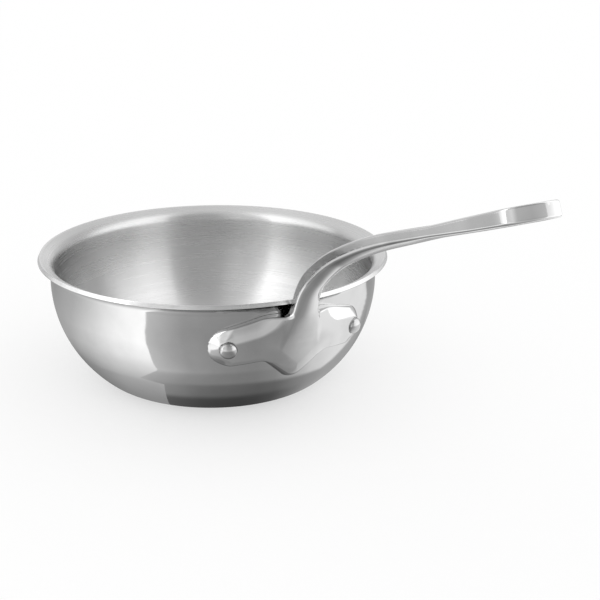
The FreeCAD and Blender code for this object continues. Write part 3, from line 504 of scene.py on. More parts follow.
# Between stations the sizes run straight, and are then eased over a stretch of the arm.
EASE_STEP = 0.5 * MM
EASE_POINTS = 31
EASE_MARGIN = 30 * MM
along = np.arange(-EASE_MARGIN, arm_length + EASE_MARGIN, EASE_STEP)
weights = np.hanning(EASE_POINTS) / np.hanning(EASE_POINTS).sum()
station_places, *station_sizes = np.array(STATIONS).T
eased_sizes = []
for sizes in station_sizes:
    straight = np.pad(np.interp(along, station_places, sizes), EASE_POINTS // 2, mode="edge")
    eased_sizes.append(np.convolve(straight, weights, "valid"))

# One half of the flange's outline, from its tip round the notch and the wing to the top.
tip_side = (TIP_RADIUS * math.sin(TIP_SLOPE), TIP_Z + TIP_RADIUS * (1 - math.cos(TIP_SLOPE)))
notch_z = NOTCH_TOP - NOTCH_RADIUS
notch_run = (notch_z + NOTCH_RADIUS * math.cos(TIP_SLOPE) - tip_side[1]) / math.tan(TIP_SLOPE)
notch = np.array((tip_side[0] + notch_run + NOTCH_RADIUS * math.sin(TIP_SLOPE), notch_z))
rivet_reach = BELLY_X + BELLY_RADIUS * math.cos(RIVET_TILT)
wing = np.array((rivet_reach * math.sin(RIVET_BEARING) - WING_SHIFT, RIVET_HEIGHT - WING_DROP))
between = wing - notch
wing_fall = (math.atan2(between[1], between[0])
             - math.asin((NOTCH_RADIUS + WING_RADIUS) / math.hypot(between[0], between[1])))
wing_top = wing + WING_RADIUS * np.array((math.sin(WING_SLOPE), math.cos(WING_SLOPE)))
shoulder_run = (TOP_Z - wing_top[1]) / math.tan(WING_SLOPE) + TOP_RADIUS * math.tan(WING_SLOPE / 2)
shoulder = (wing_top[0] - shoulder_run, TOP_Z - TOP_RADIUS)
half_outline = np.concatenate([
    arc((0, TIP_Z + TIP_RADIUS), TIP_RADIUS, -QUARTER, TIP_SLOPE - QUARTER, OUTLINE_PIECES),
    arc(notch, NOTCH_RADIUS, QUARTER + TIP_SLOPE, QUARTER + wing_fall, OUTLINE_PIECES),
    arc(wing, WING_RADIUS, wing_fall - QUARTER, QUARTER - WING_SLOPE, 3 * OUTLINE_PIECES),
    arc(shoulder, TOP_RADIUS, QUARTER - WING_SLOPE, QUARTER, 2 * OUTLINE_PIECES)])
outline = np.concatenate([half_outline, (half_outline * (-1, 1))[::-1]])
outline_next = np.roll(outline, -1, axis=0)
POINTS_AT_ONCE = 10000
LEAST_LENGTH_SQUARED = 1e-12


def outline_distance(points):
    """How far points in the outline's plane are from it, below zero inside."""
    edge = outline_next - outline
    length = np.maximum((edge ** 2).sum(1), LEAST_LENGTH_SQUARED)
    found = []
    for some in np.array_split(points, 1 + len(points) // POINTS_AT_ONCE):
        away = some[:, None] - outline[None]
        t = np.clip((away * edge).sum(2) / length, 0, 1)
        near = np.sqrt(((away - t[..., None] * edge) ** 2).sum(2)).min(1)
        start_above = outline[None, :, 1] > some[:, None, 1]
        end_above = outline_next[None, :, 1] > some[:, None, 1]
        left_of = (edge[:, 0] * away[..., 1] - edge[:, 1] * away[..., 0]) > 0
        crossings = ((start_above != end_above) & (left_of == end_above)).sum(1)
        found.append(np.where(crossings % 2 == 1, -near, near))
    return np.concatenate(found)


# The outline's distances are kept on a fine grid, so that the casting can be asked for quickly.
OUTLINE_STEP = 0.25 * MM
OUTLINE_LOW = np.array((-2 * MM, 15 * MM))
OUTLINE_SHAPE = (280, 300)
# Places past the grid's end are read just inside its last cell.
LAST_CELL = np.array(OUTLINE_SHAPE) - 1.001
grid_points = OUTLINE_LOW + np.indices(OUTLINE_SHAPE).reshape(2, -1).T * OUTLINE_STEP
outline_grid = outline_distance(grid_points).reshape(OUTLINE_SHAPE)


def outline_at(y, z):
    """The outline's distance read from the grid between its points."""
    where = (np.stack([np.abs(y), z], axis=1) - OUTLINE_LOW) / OUTLINE_STEP
    where = np.clip(where, 0, LAST_CELL)
    low = where.astype(int)
    t = where - low
    i, j = low.T
    first = outline_grid[i, j] * (1 - t[:, 1]) + outline_grid[i, j + 1] * t[:, 1]
    second = outline_grid[i + 1, j] * (1 - t[:, 1]) + outline_grid[i + 1, j + 1] * t[:, 1]
    return first * (1 - t[:, 0]) + second * t[:, 0]


def gentle(share):
    """A share held between 0 and 1, which starts and ends gently."""
    held = np.clip(share, 0, 1)
    return held ** 2 * (3 - 2 * held)


def rounded(a, b, size):
    """Distance to the corner of two faces that is rounded to a size."""
    a = a + size
    b = b + size
    return np.minimum(np.maximum(a, b), 0) + np.hypot(np.maximum(a, 0), np.maximum(b, 0)) - size


def joined(a, b, size):
    """The nearer of two distances, with a fillet of about that size between them."""
    share = np.clip(0.5 + 0.5 * (b - a) / size, 0, 1)
    return b + (a - b) * share - size * share * (1 - share)


def height_of(p):
    """How far points stand off the bowl's outside."""
    from_middle = np.hypot(p[:, 0], p[:, 1]) - BELLY_X
    return np.hypot(from_middle, np.minimum(p[:, 2] - BELLY_Z, 0)) - BELLY_RADIUS


# The flange grows thicker towards the neck, so that the arm's underside runs out into it as a low ridge.
climb = np.linspace(0, neck_length, RIDGE_POINTS)
neck_thickness = np.interp(climb, along, eased_sizes[1])
ridge_places = (neck_root + climb[:, None] * ahead(neck_lean)
                + neck_thickness[:, None] / 2 * ahead(neck_lean - QUARTER))
ridge_z = ridge_places[:, 1]
ridge_height = height_of(np.stack([ridge_places[:, 0], 0 * ridge_z, ridge_z], axis=1))


def flange_distance(p):
    """How far points are from the flange, below zero in the metal."""
    height = height_of(p)
    y = np.abs(p[:, 1])
    z = p[:, 2]
    beyond = np.maximum(outline_at(y, z), -p[:, 0])
    ridge = np.maximum(np.interp(z, ridge_z, ridge_height) - WING_THICKNESS, 0)
    top = WING_THICKNESS + ridge * (1 - gentle((y - RIDGE_HALF) / RIDGE_RUN))
    fall = FLANGE_CROWN * np.clip(1 + beyond / FLANGE_CROWN_RUN, 0, PAST_EDGE) ** FLANGE_CROWN_POWER
    into_end = beyond + WING_END_RUN
    end_fall = WING_END_SLOPE * (into_end + np.hypot(into_end, WING_END_EASE)) / 2
    fall = fall + (end_fall - fall) * gentle((y - wing[0]) / WING_END_FADE)
    lobe = np.clip((LOBE_HALF - y) / LOBE_FADE, 0, 1) * np.clip((LOBE_TOP - z) / LOBE_FADE, 0, 1)
    front = rounded(beyond, height + fall - top, FLANGE_ROUND + (LOBE_ROUND - FLANGE_ROUND) * lobe)
    back = rounded(beyond, FLANGE_SEAT - height, FLANGE_BACK_ROUND)
    return np.maximum(front, back)


def arm_runs(x, z):
    """For each run of the arm's line, how far points are from it, along the arm and above it."""
    for start, angle, length, begin in straights:
        way = ahead(angle)
        dx = x - start[0]
        dz = z - start[1]
        run = dx * way[0] + dz * way[1]
        off = dz * way[0] - dx * way[1]
        yield np.hypot(off, run - np.clip(run, 0, length)), begin + run, off
    for middle, radius, first, last, begin in curves:
        dx = x - middle[0]
        dz = z - middle[1]
        turn = np.clip(np.arctan2(dz, dx), last + QUARTER, first + QUARTER)
        away = np.hypot(dx - radius * np.cos(turn), dz - radius * np.sin(turn))
        yield away, begin + radius * (first + QUARTER - turn), np.hypot(dx, dz) - radius


def arm_distance(p):
    """How far points are from the arm, below zero in the metal."""
    nearest = np.full(len(p), np.inf)
    travel = np.zeros(len(p))
    above = np.zeros(len(p))
    for here, gone, off in arm_runs(p[:, 0], p[:, 2]):
        closer = here < nearest
        nearest[closer] = here[closer]
        travel[closer] = gone[closer]
        above[closer] = off[closer]
    width, thickness, crown = [np.interp(travel, along, sizes) for sizes in eased_sizes]
    aside = np.hypot(p[:, 1], np.maximum(travel - arm_length, 0))
    share = np.minimum(aside / (width / 2), PAST_EDGE)
    # Depth under the crowned underside is divided by how steep that is, which makes a distance of it.
    under = (crown * share ** 2 - above - thickness / 2) / np.hypot(1, 4 * crown * share / width)
    body = rounded(aside - width / 2 + SIDE_DRAFT * above, np.maximum(under, above - thickness / 2),
                   np.where(above > 0, UPPER_EDGE, LOWER_EDGE))
    return body + ROOT_FADE * np.clip(1 - travel / ROOT_FADE_RUN, 0, ROOT_FADE_LIMIT) ** 2


def casting_distance(p):
    """How far points are from the casting's surface, below zero in the metal."""
    blend = np.interp(height_of(p), BLEND_HEIGHTS, (BACK_BLEND, FRONT_BLEND))
    found = joined(arm_distance(p), flange_distance(p), blend)
    for side in (-1, 1):
        out = np.array((math.cos(RIVET_BEARING), side * math.sin(RIVET_BEARING), 0))
        axis = out * math.cos(RIVET_TILT) - np.array((0, 0, math.sin(RIVET_TILT)))
        away = p - (out * BELLY_X + np.array((0, 0, BELLY_Z)))
        reach = away @ axis
        radial = np.sqrt(np.maximum((away ** 2).sum(1) - reach ** 2, 0))
        seat = np.maximum(radial - SEAT_RADIUS, HEAD_SEAT - reach)
        hole = np.maximum(radial - RIVET_HOLE_RADIUS, -reach)
        found = -joined(-found, joined(seat, hole, RIVET_HOLE_EDGE), SEAT_EDGE)
    way = ahead(grip_rise)
    along_grip = (p[:, 0] - arm_end[0]) * way[0] + (p[:, 2] - arm_end[1]) * way[1]
    return -joined(-found, np.hypot(along_grip, p[:, 1]) - HANG_RADIUS, HANG_EDGE)


def skin_of(distance, low, high, step):
    """Points and four-sided faces on a distance's zero level, with one point in each cell it crosses."""
    block = 4
    # Only blocks of cells whose middle is nearer than this can hold some of the surface.
    block_reach = 2.5 * step * block
    count = np.ceil((high - low) / (step * block)).astype(int)
    blocks = np.indices(count).reshape(3, -1).T
    near = np.abs(distance(low + (blocks + 0.5) * step * block)) < block_reach
    inside = np.indices((block, block, block)).reshape(3, -1).T
    cells = (blocks[near][:, None] * block + inside).reshape(-1, 3)
    # Cells are numbered on a grid this wide, with room for their far corners.
    span = count * block + 2
    corners = np.indices((2, 2, 2)).reshape(3, -1).T

    def code(cell):
        return (cell[..., 0] * span[1] + cell[..., 1]) * span[2] + cell[..., 2]

    codes = code(cells[:, None] + corners)
    unique, back = np.unique(codes, return_inverse=True)
    spots = np.stack([unique // (span[1] * span[2]), unique // span[2] % span[1], unique % span[2]], axis=1)
    values = distance(low + spots * step)[back.reshape(codes.shape)]
    passed = (values < 0).any(1) & (values >= 0).any(1)
    cells = cells[passed]
    values = values[passed]
    # A cell's point is the middle of the places where the surface crosses its edges.
    total = np.zeros((len(cells), 3))
    crossings = np.zeros(len(cells))
    for i in range(8):
        for j in range(i):
            if np.abs(corners[i] - corners[j]).sum() == 1:
                cross = (values[:, i] < 0) != (values[:, j] < 0)
                share = values[:, i] / np.where(cross, values[:, i] - values[:, j], 1)
                total += np.where(cross[:, None], corners[i] + share[:, None] * (corners[j] - corners[i]), 0)
                crossings += cross
    points = low + (cells + total / crossings[:, None]) * step
    # A face joins the points of the four cells round each edge that the surface crosses.
    order = np.argsort(code(cells))
    sorted_codes = code(cells)[order]
    faces = []
    for axis in range(3):
        second = np.eye(3, dtype=int)[(axis + 1) % 3]
        third = np.eye(3, dtype=int)[(axis + 2) % 3]
        cross = (values[:, 0] < 0) != (values[:, 4 >> axis] < 0)
        own = cells[cross]
        around = [own, own - second, own - second - third, own - third]
        face = np.stack([order[np.searchsorted(sorted_codes, code(cell))] for cell in around], axis=1)
        outside_in = values[cross, 0] >= 0
        face[outside_in] = face[outside_in][:, ::-1]
        faces.append(face)
    return points, np.concatenate(faces)


def steepest(distance, points, reach=0.02 * MM):
    """The direction in which a distance grows at points, with its steepness."""
    shifts = np.eye(3) * reach
    return np.stack([(distance(points + d) - distance(points - d)) / (2 * reach) for d in shifts], axis=1)


# The mesh is drawn onto the casting's surface, whose own directions shade it.
CASTING_LOW = np.array((85, -55, 26)) * MM
CASTING_HIGH = np.array((320, 55, 190)) * MM
CASTING_STEP = 0.56 * MM
DRAWS = 2
LEAST_STEEPNESS = 0.2
skin, faces = skin_of(casting_distance, CASTING_LOW, CASTING_HIGH, CASTING_STEP)
for _ in range(DRAWS):
    uphill = steepest(casting_distance, skin)
    steepness = np.maximum((uphill ** 2).sum(1), LEAST_STEEPNESS)
    skin = skin - (casting_distance(skin) / steepness)[:, None] * uphill
mesh = bpy.data.meshes.new("handle_casting")
mesh.from_pydata(skin.tolist(), [], faces.tolist())
# Where the casting is thinner than a cell, an edge that four faces share is drawn together to a point.
work = bmesh.new()
work.from_mesh(mesh)
bmesh.ops.collapse(work, edges=[edge for edge in work.edges if len(edge.link_faces) > 2])
work.to_mesh(mesh)
work.free()
uphill = steepest(casting_distance, np.array([vertex.co for vertex in mesh.vertices]))
uphill /= np.linalg.norm(uphill, axis=1)[:, None]
mesh.shade_smooth()
mesh.normals_split_custom_set_from_vertices(uphill.tolist())
handle = bpy.data.objects.new("handle_casting", mesh)
bpy.context.collection.objects.link(handle)

# Polished cast stainless: a softer mirror than the sheet. The belt left it gently wavy, the skin of the
# casting shows as a very fine orange peel, and fingers dull it in patches. The edges are rubbed, and painted
# lighter as a painted highlight.
BELT_SIZE = 15 * MM
BELT_DEPTH = 0.05 * MM
PEEL_SIZE = 1.6 * MM
PEEL_DEPTH = 0.0015 * MM
FINGER_SIZE = 18 * MM
CAST_ROUGHNESS = 0.08
FINGERED_ROUGHNESS = 0.14
RUBBED_EDGE_ROUGHNESS = 0.05
CAST_STEEL = "#cfcfcf"
FINGERED_STEEL = "#c5c5c5"
RUBBED_AND_HIGHLIT_EDGE = "#d9d9d9"
polished_casting, tree, bsdf = new_metal("polished cast stainless")
fingers = blotches(tree, FINGER_SIZE, detail=5.0)
fingered = add(tree, "ShaderNodeMapRange", {"Value": fingers, "From Min": 0.42, "From Max": 0.72}).outputs[0]
pointed = add(tree, "ShaderNodeNewGeometry").outputs["Pointiness"]
# Sharp convex edges are rubbed, and painted lighter as a painted highlight.
rubbed_and_highlit = add(tree, "ShaderNodeMapRange", {"Value": pointed, "From Min": 0.52, "From Max": 0.6}).outputs[0]
cast = linear(CAST_STEEL)
for share, colour in [(fingered, FINGERED_STEEL), (rubbed_and_highlit, RUBBED_AND_HIGHLIT_EDGE)]:
    cast = add(tree, "ShaderNodeMix", {0: share, 6: cast, 7: linear(colour)}, data_type="RGBA").outputs[2]
dull = add(tree, "ShaderNodeMapRange",
           {"Value": fingered, "To Min": CAST_ROUGHNESS, "To Max": FINGERED_ROUGHNESS}).outputs[0]
dull = add(tree, "ShaderNodeMath",
           {0: rubbed_and_highlit, 1: RUBBED_EDGE_ROUGHNESS, 2: dull}, operation="MULTIPLY_ADD").outputs[0]
wavy = add(tree, "ShaderNodeBump", {"Strength": BUMP_STRENGTH, "Distance": BELT_DEPTH,
                                    "Height": blotches(tree, BELT_SIZE, detail=1.0)})
relief = add(tree, "ShaderNodeBump", {"Strength": BUMP_STRENGTH, "Distance": PEEL_DEPTH,
                                      "Height": blotches(tree, PEEL_SIZE, detail=2.0),
                                      "Normal": wavy.outputs[0]})
dress(tree, bsdf, cast, dull, relief.outputs[0])
mesh.materials.append(polished_casting)
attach(handle, "root")
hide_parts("handle")

# Rivets
# Two solid stainless rivets through the flange's wings and the wall, each with a domed head outside and a
# flatter one upset inside the bowl. A head is given by its radius, its height and how high its side stands.
SHANK_RADIUS = 3 * MM
OUTER_HEAD = (4.9 * MM, 4.5 * MM, 2 * MM)
INNER_HEAD = (6.5 * MM, 1.8 * MM, 0.6 * MM)
SHOULDER_EASE = 0.5 * MM
FOOT_EASE = 0.15 * MM
DOME_PIECES = 11
RIVET_SEGMENTS = 64


def head(radius, height, side, seat, way):
    """A rivet head's section from its crown down to the shank, as radius and place along the rivet."""
    crown = height - side
    ball = (radius ** 2 + crown ** 2) / (2 * crown)
    turns = np.linspace(0, math.asin(radius / ball), DOME_PIECES + 1)
    dome = np.stack([ball * np.sin(turns), seat + way * (height - ball * (1 - np.cos(turns)))], axis=1)
    foot = np.array([(radius, seat + way * FOOT_EASE), (radius - FOOT_EASE, seat), (SHANK_RADIUS, seat)])
    shoulder = eased(dome[-1], dome[-2], foot[0], SHOULDER_EASE)
    return np.concatenate([dome[:-1], shoulder, foot])


rivet_section = np.concatenate([head(*OUTER_HEAD, HEAD_SEAT, 1),
                                head(*INNER_HEAD, BELLY_RADIUS - WALL, -1)[::-1]])

# The tree turns a rivet about its own axis, and sets it in the wall at a tilt and a bearing.
riveting = new_tree("rivet through the wall", [
    ("Segments", "NodeSocketInt"), ("Tilt", "NodeSocketFloat"), ("Bearing", "NodeSocketFloat"),
    ("Out", "NodeSocketFloat"), ("Up", "NodeSocketFloat"), ("Sharp Angle", "NodeSocketFloat"),
    ("Material", "NodeSocketMaterial")])
given = add(riveting, "NodeGroupInput").outputs
whole = add(riveting, "GeometryNodeGroup", node_tree=turning)
for label in ("Geometry", "Segments", "Sharp Angle", "Material"):
    riveting.links.new(given[label], whole.inputs[label])
lean = add(riveting, "ShaderNodeMath", {0: given["Tilt"], 1: QUARTER}, operation="ADD").outputs[0]
leant = add(riveting, "ShaderNodeCombineXYZ", {"Y": lean, "Z": given["Bearing"]})
middle = add(riveting, "ShaderNodeCombineXYZ", {"X": given["Out"], "Z": given["Up"]})
turned_out = add(riveting, "ShaderNodeVectorRotate",
                 {"Vector": middle.outputs[0], "Angle": given["Bearing"]}, rotation_type="Z_AXIS")
spot = add(riveting, "GeometryNodePoints", {"Position": turned_out.outputs[0]})
copies = add(riveting, "GeometryNodeInstanceOnPoints",
             {"Points": spot.outputs[0], "Instance": whole.outputs[0], "Rotation": leant.outputs[0]})
real = add(riveting, "GeometryNodeRealizeInstances", {"Geometry": copies.outputs[0]})
finished = add(riveting, "GeometryNodeSetMaterial",
               {"Geometry": real.outputs["Geometry"], "Material": given["Material"]})
add(riveting, "NodeGroupOutput", {"Geometry": finished.outputs["Geometry"]})

# Cold formed stainless: a small soft mirror, a shade darker than the casting. The forming tool left shallow
# dents and the tumbling barrel a fine matt grain. The head's shoulder is rubbed and painted lighter, a
# painted highlight. Real grain is about 0.1 mm wide, so it is drawn coarser here to show.
DENT_SIZE = 3.5 * MM
DENT_DEPTH = 0.02 * MM
TUMBLE_SIZE = 0.7 * MM
FORMED_ROUGHNESS = 0.13
TUMBLED_ROUGHNESS = 0.21
FORMED_STEEL = "#c2c2c2"
TUMBLED_STEEL = "#b2b2b2"
RUBBED_AND_HIGHLIT_SHOULDER = "#cbcbcb"
rivet_steel, tree, bsdf = new_metal("cold formed stainless")
tumbled = blotches(tree, TUMBLE_SIZE, detail=3.0)
pointed = add(tree, "ShaderNodeNewGeometry").outputs["Pointiness"]
# The head's shoulder is rubbed, and painted lighter as a painted highlight.
rubbed_and_highlit = add(tree, "ShaderNodeMapRange", {"Value": pointed, "From Min": 0.53, "From Max": 0.62}).outputs[0]
steel = linear(FORMED_STEEL)
for share, colour in [(tumbled, TUMBLED_STEEL), (rubbed_and_highlit, RUBBED_AND_HIGHLIT_SHOULDER)]:
    steel = add(tree, "ShaderNodeMix", {0: share, 6: steel, 7: linear(colour)}, data_type="RGBA").outputs[2]
dull = add(tree, "ShaderNodeMapRange",
           {"Value": tumbled, "From Min": 0.3, "From Max": 0.7,
            "To Min": FORMED_ROUGHNESS, "To Max": TUMBLED_ROUGHNESS}).outputs[0]
relief = add(tree, "ShaderNodeBump", {"Strength": BUMP_STRENGTH, "Distance": DENT_DEPTH,
                                      "Height": blotches(tree, DENT_SIZE, detail=1.0)})
dress(tree, bsdf, steel, dull, relief.outputs[0])

for name, node, side in [("left_rivet", "rivet_left", -1), ("right_rivet", "rivet_right", 1)]:
    piece = made_by(riveting, name, section_mesh(rivet_section), {
        "Segments": RIVET_SEGMENTS, "Tilt": RIVET_TILT, "Bearing": side * RIVET_BEARING, "Out": BELLY_X,
        "Up": BELLY_Z, "Sharp Angle": SHARP_ANGLE, "Material": rivet_steel})
    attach(piece, "root")
    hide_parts(node)

# Stage
# A plain white table under even soft light, and grey and white boards round the pan as in a product studio.
# The boards glow with painted light and are what the polished steel mirrors. The camera doesn't see them, so
# only the metal shows them.
bpy.context.scene.view_settings.view_transform = "Standard"
world = bpy.data.worlds.new("studio")
bpy.context.scene.world = world
world.use_nodes = True
world.node_tree.nodes.clear()
sky = add(world.node_tree, "ShaderNodeBackground", {"Color": linear("#ffffff"), "Strength": 1.0})
add(world.node_tree, "ShaderNodeOutputWorld", {"Surface": sky.outputs[0]})

# White laminate: matt, and it takes a soft shadow. What the camera and the steel see of it is filled up to
# white by a glow that lights nothing else.
TABLE_HALF = 8.0
TABLE_DROP = 0.5 * MM
LAMINATE = "#aaaaaa"
LAMINATE_GLOW = "#cbcbcb"
corners = [(x * TABLE_HALF, y * TABLE_HALF, -TABLE_DROP) for x, y in ((-1, -1), (1, -1), (1, 1), (-1, 1))]
mesh = bpy.data.meshes.new("table")
mesh.from_pydata(corners, [], [(0, 1, 2, 3)])
table = bpy.data.objects.new("table", mesh)
bpy.context.collection.objects.link(table)
white = bpy.data.materials.new("white laminate table")
white.use_nodes = True
tree = white.node_tree
tree.nodes.clear()
matt = add(tree, "ShaderNodeBsdfDiffuse", {"Color": linear(LAMINATE)})
rays = add(tree, "ShaderNodeLightPath").outputs
seen = add(tree, "ShaderNodeMath", {0: rays["Is Camera Ray"], 1: rays["Is Glossy Ray"]}, operation="ADD")
seen = add(tree, "ShaderNodeMath", {0: seen.outputs[0], 1: rays["Is Transmission Ray"]}, operation="ADD",
           use_clamp=True)
glow = add(tree, "ShaderNodeEmission", {"Color": linear(LAMINATE_GLOW), "Strength": seen.outputs[0]})
both = add(tree, "ShaderNodeAddShader", {0: matt.outputs[0], 1: glow.outputs[0]})
add(tree, "ShaderNodeOutputMaterial", {"Surface": both.outputs[0]})
mesh.materials.append(white)

# Glowing board: paper with no gloss that glows with painted light, as bright at each point as its shade
# says. It isn't sampled as a lamp, because it lights nothing and only shows in the metal.
glowing_board_paper = bpy.data.materials.new("glowing board")
glowing_board_paper.use_nodes = True
glowing_board_paper.cycles.emission_sampling = "NONE"
tree = glowing_board_paper.node_tree
tree.nodes.clear()
shade = add(tree, "ShaderNodeAttribute", attribute_name="shade")
glow = add(tree, "ShaderNodeEmission", {"Color": shade.outputs["Color"]})
add(tree, "ShaderNodeOutputMaterial", {"Surface": glow.outputs[0]})

# Bearings are in degrees from the camera's side of the pan, above zero to its right. Where a board's edge
# turns, the points beside it turn along, less and less over a spread of degrees.
CAMERA_TURN = math.radians(62.8)
EDGE_SPREAD = 58


def board(name, places, shades):
    """A bent board through a grid of places, glowing as bright at each as a grid of shades says."""
    rows, columns = shades.shape
    corners = [(i * columns + j, (i + 1) * columns + j, (i + 1) * columns + j + 1, i * columns + j + 1)
               for i in range(rows - 1) for j in range(columns - 1)]
    mesh = bpy.data.meshes.new(name)
    mesh.from_pydata(places.reshape(-1, 3).tolist(), [], corners)
    values = mesh.attributes.new("shade", "FLOAT_COLOR", "POINT")
    values.data.foreach_set("color", np.repeat(shades.reshape(-1, 1), 4, axis=1).ravel())
    mesh.materials.append(glowing_board_paper)
    made = bpy.data.objects.new(name, mesh)
    bpy.context.collection.objects.link(made)
    made.visible_camera = False
    made.visible_diffuse = False
    made.visible_shadow = False
    made.visible_transmission = False


def bearing_vectors(degrees):
    """Level directions at bearings."""
    turns = np.radians(degrees) + CAMERA_TURN - QUARTER
    return np.stack([np.cos(turns), np.sin(turns), np.zeros_like(turns)], axis=-1)


def read_between(stops, at):
    """Values read between stops, which are pairs of a place and its value."""
    return np.interp(at, *np.array(stops).T)


def edge_share(bearings, edge):
    """How much of an edge's turn each bearing takes: all of it at the edge, and less away from it."""
    return np.clip(1 - np.abs(bearings - edge) / EDGE_SPREAD, 0, 1)[None]


# Painted shadow of the pan on the boards that lie round it: how each is shaded towards the pan's foot, at
# millimetres from the bowl's axis.
LEFT_PAINTED_FOOT_SHADOW = [(57, 0.12), (75, 0.24), (95, 0.4), (110, 0.64), (130, 0.86), (170, 1)]
BACK_LEFT_PAINTED_FOOT_SHADOW = LEFT_PAINTED_FOOT_SHADOW + [(280, 1), (380, 1.35)]
FRONT_PAINTED_FOOT_SHADOW = [(57, 0.1), (78, 0.2), (82, 0.45), (93, 0.5), (97, 0.8), (108, 0.83), (113, 1), (280, 1),
              (450, 2)]
RIGHT_PAINTED_FOOT_SHADOW = [(57, 0.3), (82, 0.42), (91, 0.45), (95, 0.94), (130, 1)]
BACK_PAINTED_FOOT_SHADOW = [(22, 0.5), (40, 0.9), (57, 1)]
# Each of these boards with its brightness at bearings, and the painted foot shadows of its left and its
# right.
LYING_BOARDS = {
    "back_left_grey_board": ([(-180, 0.3), (-125, 0.42), (-107, 0.57), (-95, 0.66)],
                             BACK_LEFT_PAINTED_FOOT_SHADOW, BACK_LEFT_PAINTED_FOOT_SHADOW),
    "left_white_board": ([(-95, 0.66), (-70, 1.06), (-50, 1.5), (-28, 1.7)], LEFT_PAINTED_FOOT_SHADOW, LEFT_PAINTED_FOOT_SHADOW),
    "front_grey_board": ([(-28, 0.8), (-10, 0.5), (0, 0.43), (20, 0.35), (30, 0.42), (50, 0.95), (65, 1.15),
                          (114, 1.2)], FRONT_PAINTED_FOOT_SHADOW, RIGHT_PAINTED_FOOT_SHADOW),
    "back_grey_board": ([(114, 0.47), (180, 0.36)], BACK_PAINTED_FOOT_SHADOW, BACK_PAINTED_FOOT_SHADOW),
}
# The right's painted shadow takes over from the left's from this bearing on, over a run of degrees.
RIGHT_PAINTED_SHADOW_START = 10
RIGHT_PAINTED_SHADOW_RUN = 40
# How much further out the painted shadow reaches towards the back on the right, by bearing.
RIGHT_PAINTED_SHADOW_REACH = [(60, 1), (69, 1.07), (77, 1.16), (85, 1.26), (95, 1.45), (102, 1.78), (108, 2.1),
               (114, 2.55)]
# The edge between the white board and the grey one in front, and how many degrees it turns to the right at
# millimetres from the axis.
EDGE_BEARING = -28
EDGE_TURN = [(57, 3), (93, 3), (97, -10), (104, -5), (112, 0), (120, -2), (130, -3.5), (170, -7.8),
             (220, -10.1), (330, -11.7), (500, -12.5)]
# The boards' points lie on rings, in millimetres from the axis, which are close together by the pan.
RINGS = np.concatenate([np.arange(57, 131, 2), np.arange(135, 280, 6), (280, 330, 450, 500)])
LYING_STEPS = 48
BOARD_LIFT = 0.2 * MM
for name, (stops, left_shadow_stops, right_shadow_stops) in LYING_BOARDS.items():
    bearings = np.linspace(stops[0][0], stops[-1][0], LYING_STEPS)
    turn = read_between(EDGE_TURN, RINGS)[:, None] * edge_share(bearings, EDGE_BEARING)
    places = bearing_vectors(bearings[None] + turn) * RINGS[:, None, None] * MM
    places[..., 2] = BOARD_LIFT
    # Each board is darkened towards the pan's foot by the painted shadow of the pan.
    painted_shadow_ring = RINGS[:, None] / read_between(RIGHT_PAINTED_SHADOW_REACH, bearings)[None]
    left_painted_shadow = read_between(left_shadow_stops, painted_shadow_ring)
    right_painted_shadow = read_between(right_shadow_stops, painted_shadow_ring)
    right_share = np.clip((bearings - RIGHT_PAINTED_SHADOW_START) / RIGHT_PAINTED_SHADOW_RUN, 0, 1)[None]
    painted_foot_shadow = left_painted_shadow + (right_painted_shadow - left_painted_shadow) * right_share
    board(name, places, painted_foot_shadow * read_between(stops, bearings)[None])

# A tent of boards that stands on the table and closes over the pan. Each has its brightness at bearings, and
# by how much that changes at degrees of rise.
TENT_RADIUS = 0.5
TENT_RISES = np.arange(0, 91, 10)
STANDING_BOARDS = {
    "left_soft_box": ([(-180, 1.0), (-132, 0.9), (-118, 0.72), (-109, 1.35), (-80, 1.8), (-62, 2.2),
                       (-49, 2.5)], [(12, 0.85), (25, 1)]),
    "front_dark_board": ([(-49, 0.82), (-20, 0.86), (-5, 0.52), (20, 0.46), (38, 0.6)],
                         [(10, 1.5), (20, 1.15), (30, 1.35), (40, 1), (50, 0.9)]),
    "right_soft_box": ([(38, 1.25), (60, 1.7), (97, 1.7), (112, 1.3), (120, 0.75), (150, 0.65), (180, 1.0)],
                       [(12, 1.1), (25, 1)]),
}
STANDING_STEPS = 40
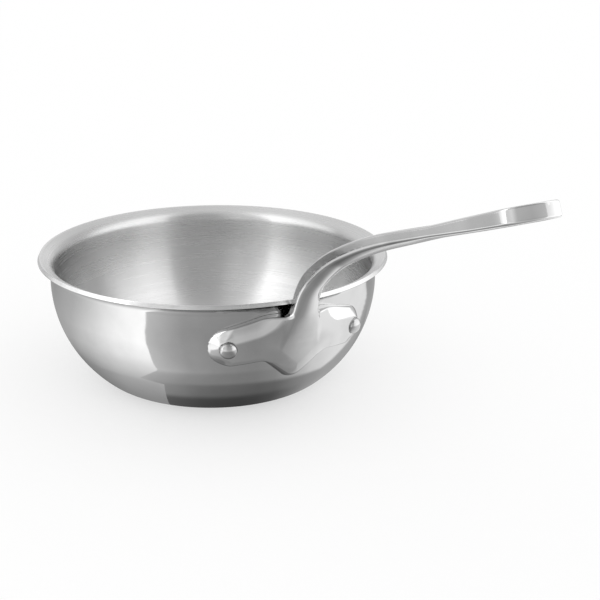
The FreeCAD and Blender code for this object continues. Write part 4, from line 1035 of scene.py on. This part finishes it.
# The front board's right edge, and how many degrees it turns to the right as it rises.
STANDING_EDGE = 38
STANDING_TURN = [(30, 0), (40, 3), (60, 9)]
# Overhead all the boards fade to one brightness.
OVERHEAD = 0.95
OVERHEAD_FADE = [(65, 0), (90, 1)]
for name, (stops, rise_stops) in STANDING_BOARDS.items():
    bearings = np.linspace(stops[0][0], stops[-1][0], STANDING_STEPS)
    turn = read_between(STANDING_TURN, TENT_RISES)[:, None] * edge_share(bearings, STANDING_EDGE)
    rises = np.radians(TENT_RISES)[:, None, None]
    level = bearing_vectors(bearings[None] + turn)
    places = TENT_RADIUS * (level * np.cos(rises) + np.array((0, 0, 1)) * np.sin(rises))
    shades = read_between(rise_stops, TENT_RISES)[:, None] * read_between(stops, bearings)[None]
    overhead = read_between(OVERHEAD_FADE, TENT_RISES)[:, None]
    board(name, places, shades * (1 - overhead) + OVERHEAD * overhead)

# Camera
# It looks down at the pan through a long lens from the photograph's side, with the handle on the right.
# Its place is a turn and a rise round a point on the bowl's axis.
PIVOT_HEIGHT = 45 * MM
CAMERA_DISTANCE = 0.9
CAMERA_RISE = math.radians(19.017)
CAMERA_YAW = math.radians(3.703)
CAMERA_PITCH = math.radians(-18.848)
CAMERA_ROLL = math.radians(0.289)
SENSOR_WIDTH = 36
FOCAL_LENGTH = 83.93
camera = bpy.data.objects.new("camera", bpy.data.cameras.new("camera"))
bpy.context.collection.objects.link(camera)
camera.data.sensor_width = SENSOR_WIDTH
camera.data.lens = FOCAL_LENGTH
camera.location = (CAMERA_DISTANCE * math.cos(CAMERA_RISE) * math.sin(CAMERA_TURN),
                   -CAMERA_DISTANCE * math.cos(CAMERA_RISE) * math.cos(CAMERA_TURN),
                   PIVOT_HEIGHT + CAMERA_DISTANCE * math.sin(CAMERA_RISE))
camera.rotation_euler = (Matrix.Rotation(CAMERA_TURN - CAMERA_YAW, 3, "Z")
                         @ Matrix.Rotation(QUARTER + CAMERA_PITCH, 3, "X")
                         @ Matrix.Rotation(CAMERA_ROLL, 3, "Z")).to_euler()
bpy.context.scene.camera = camera
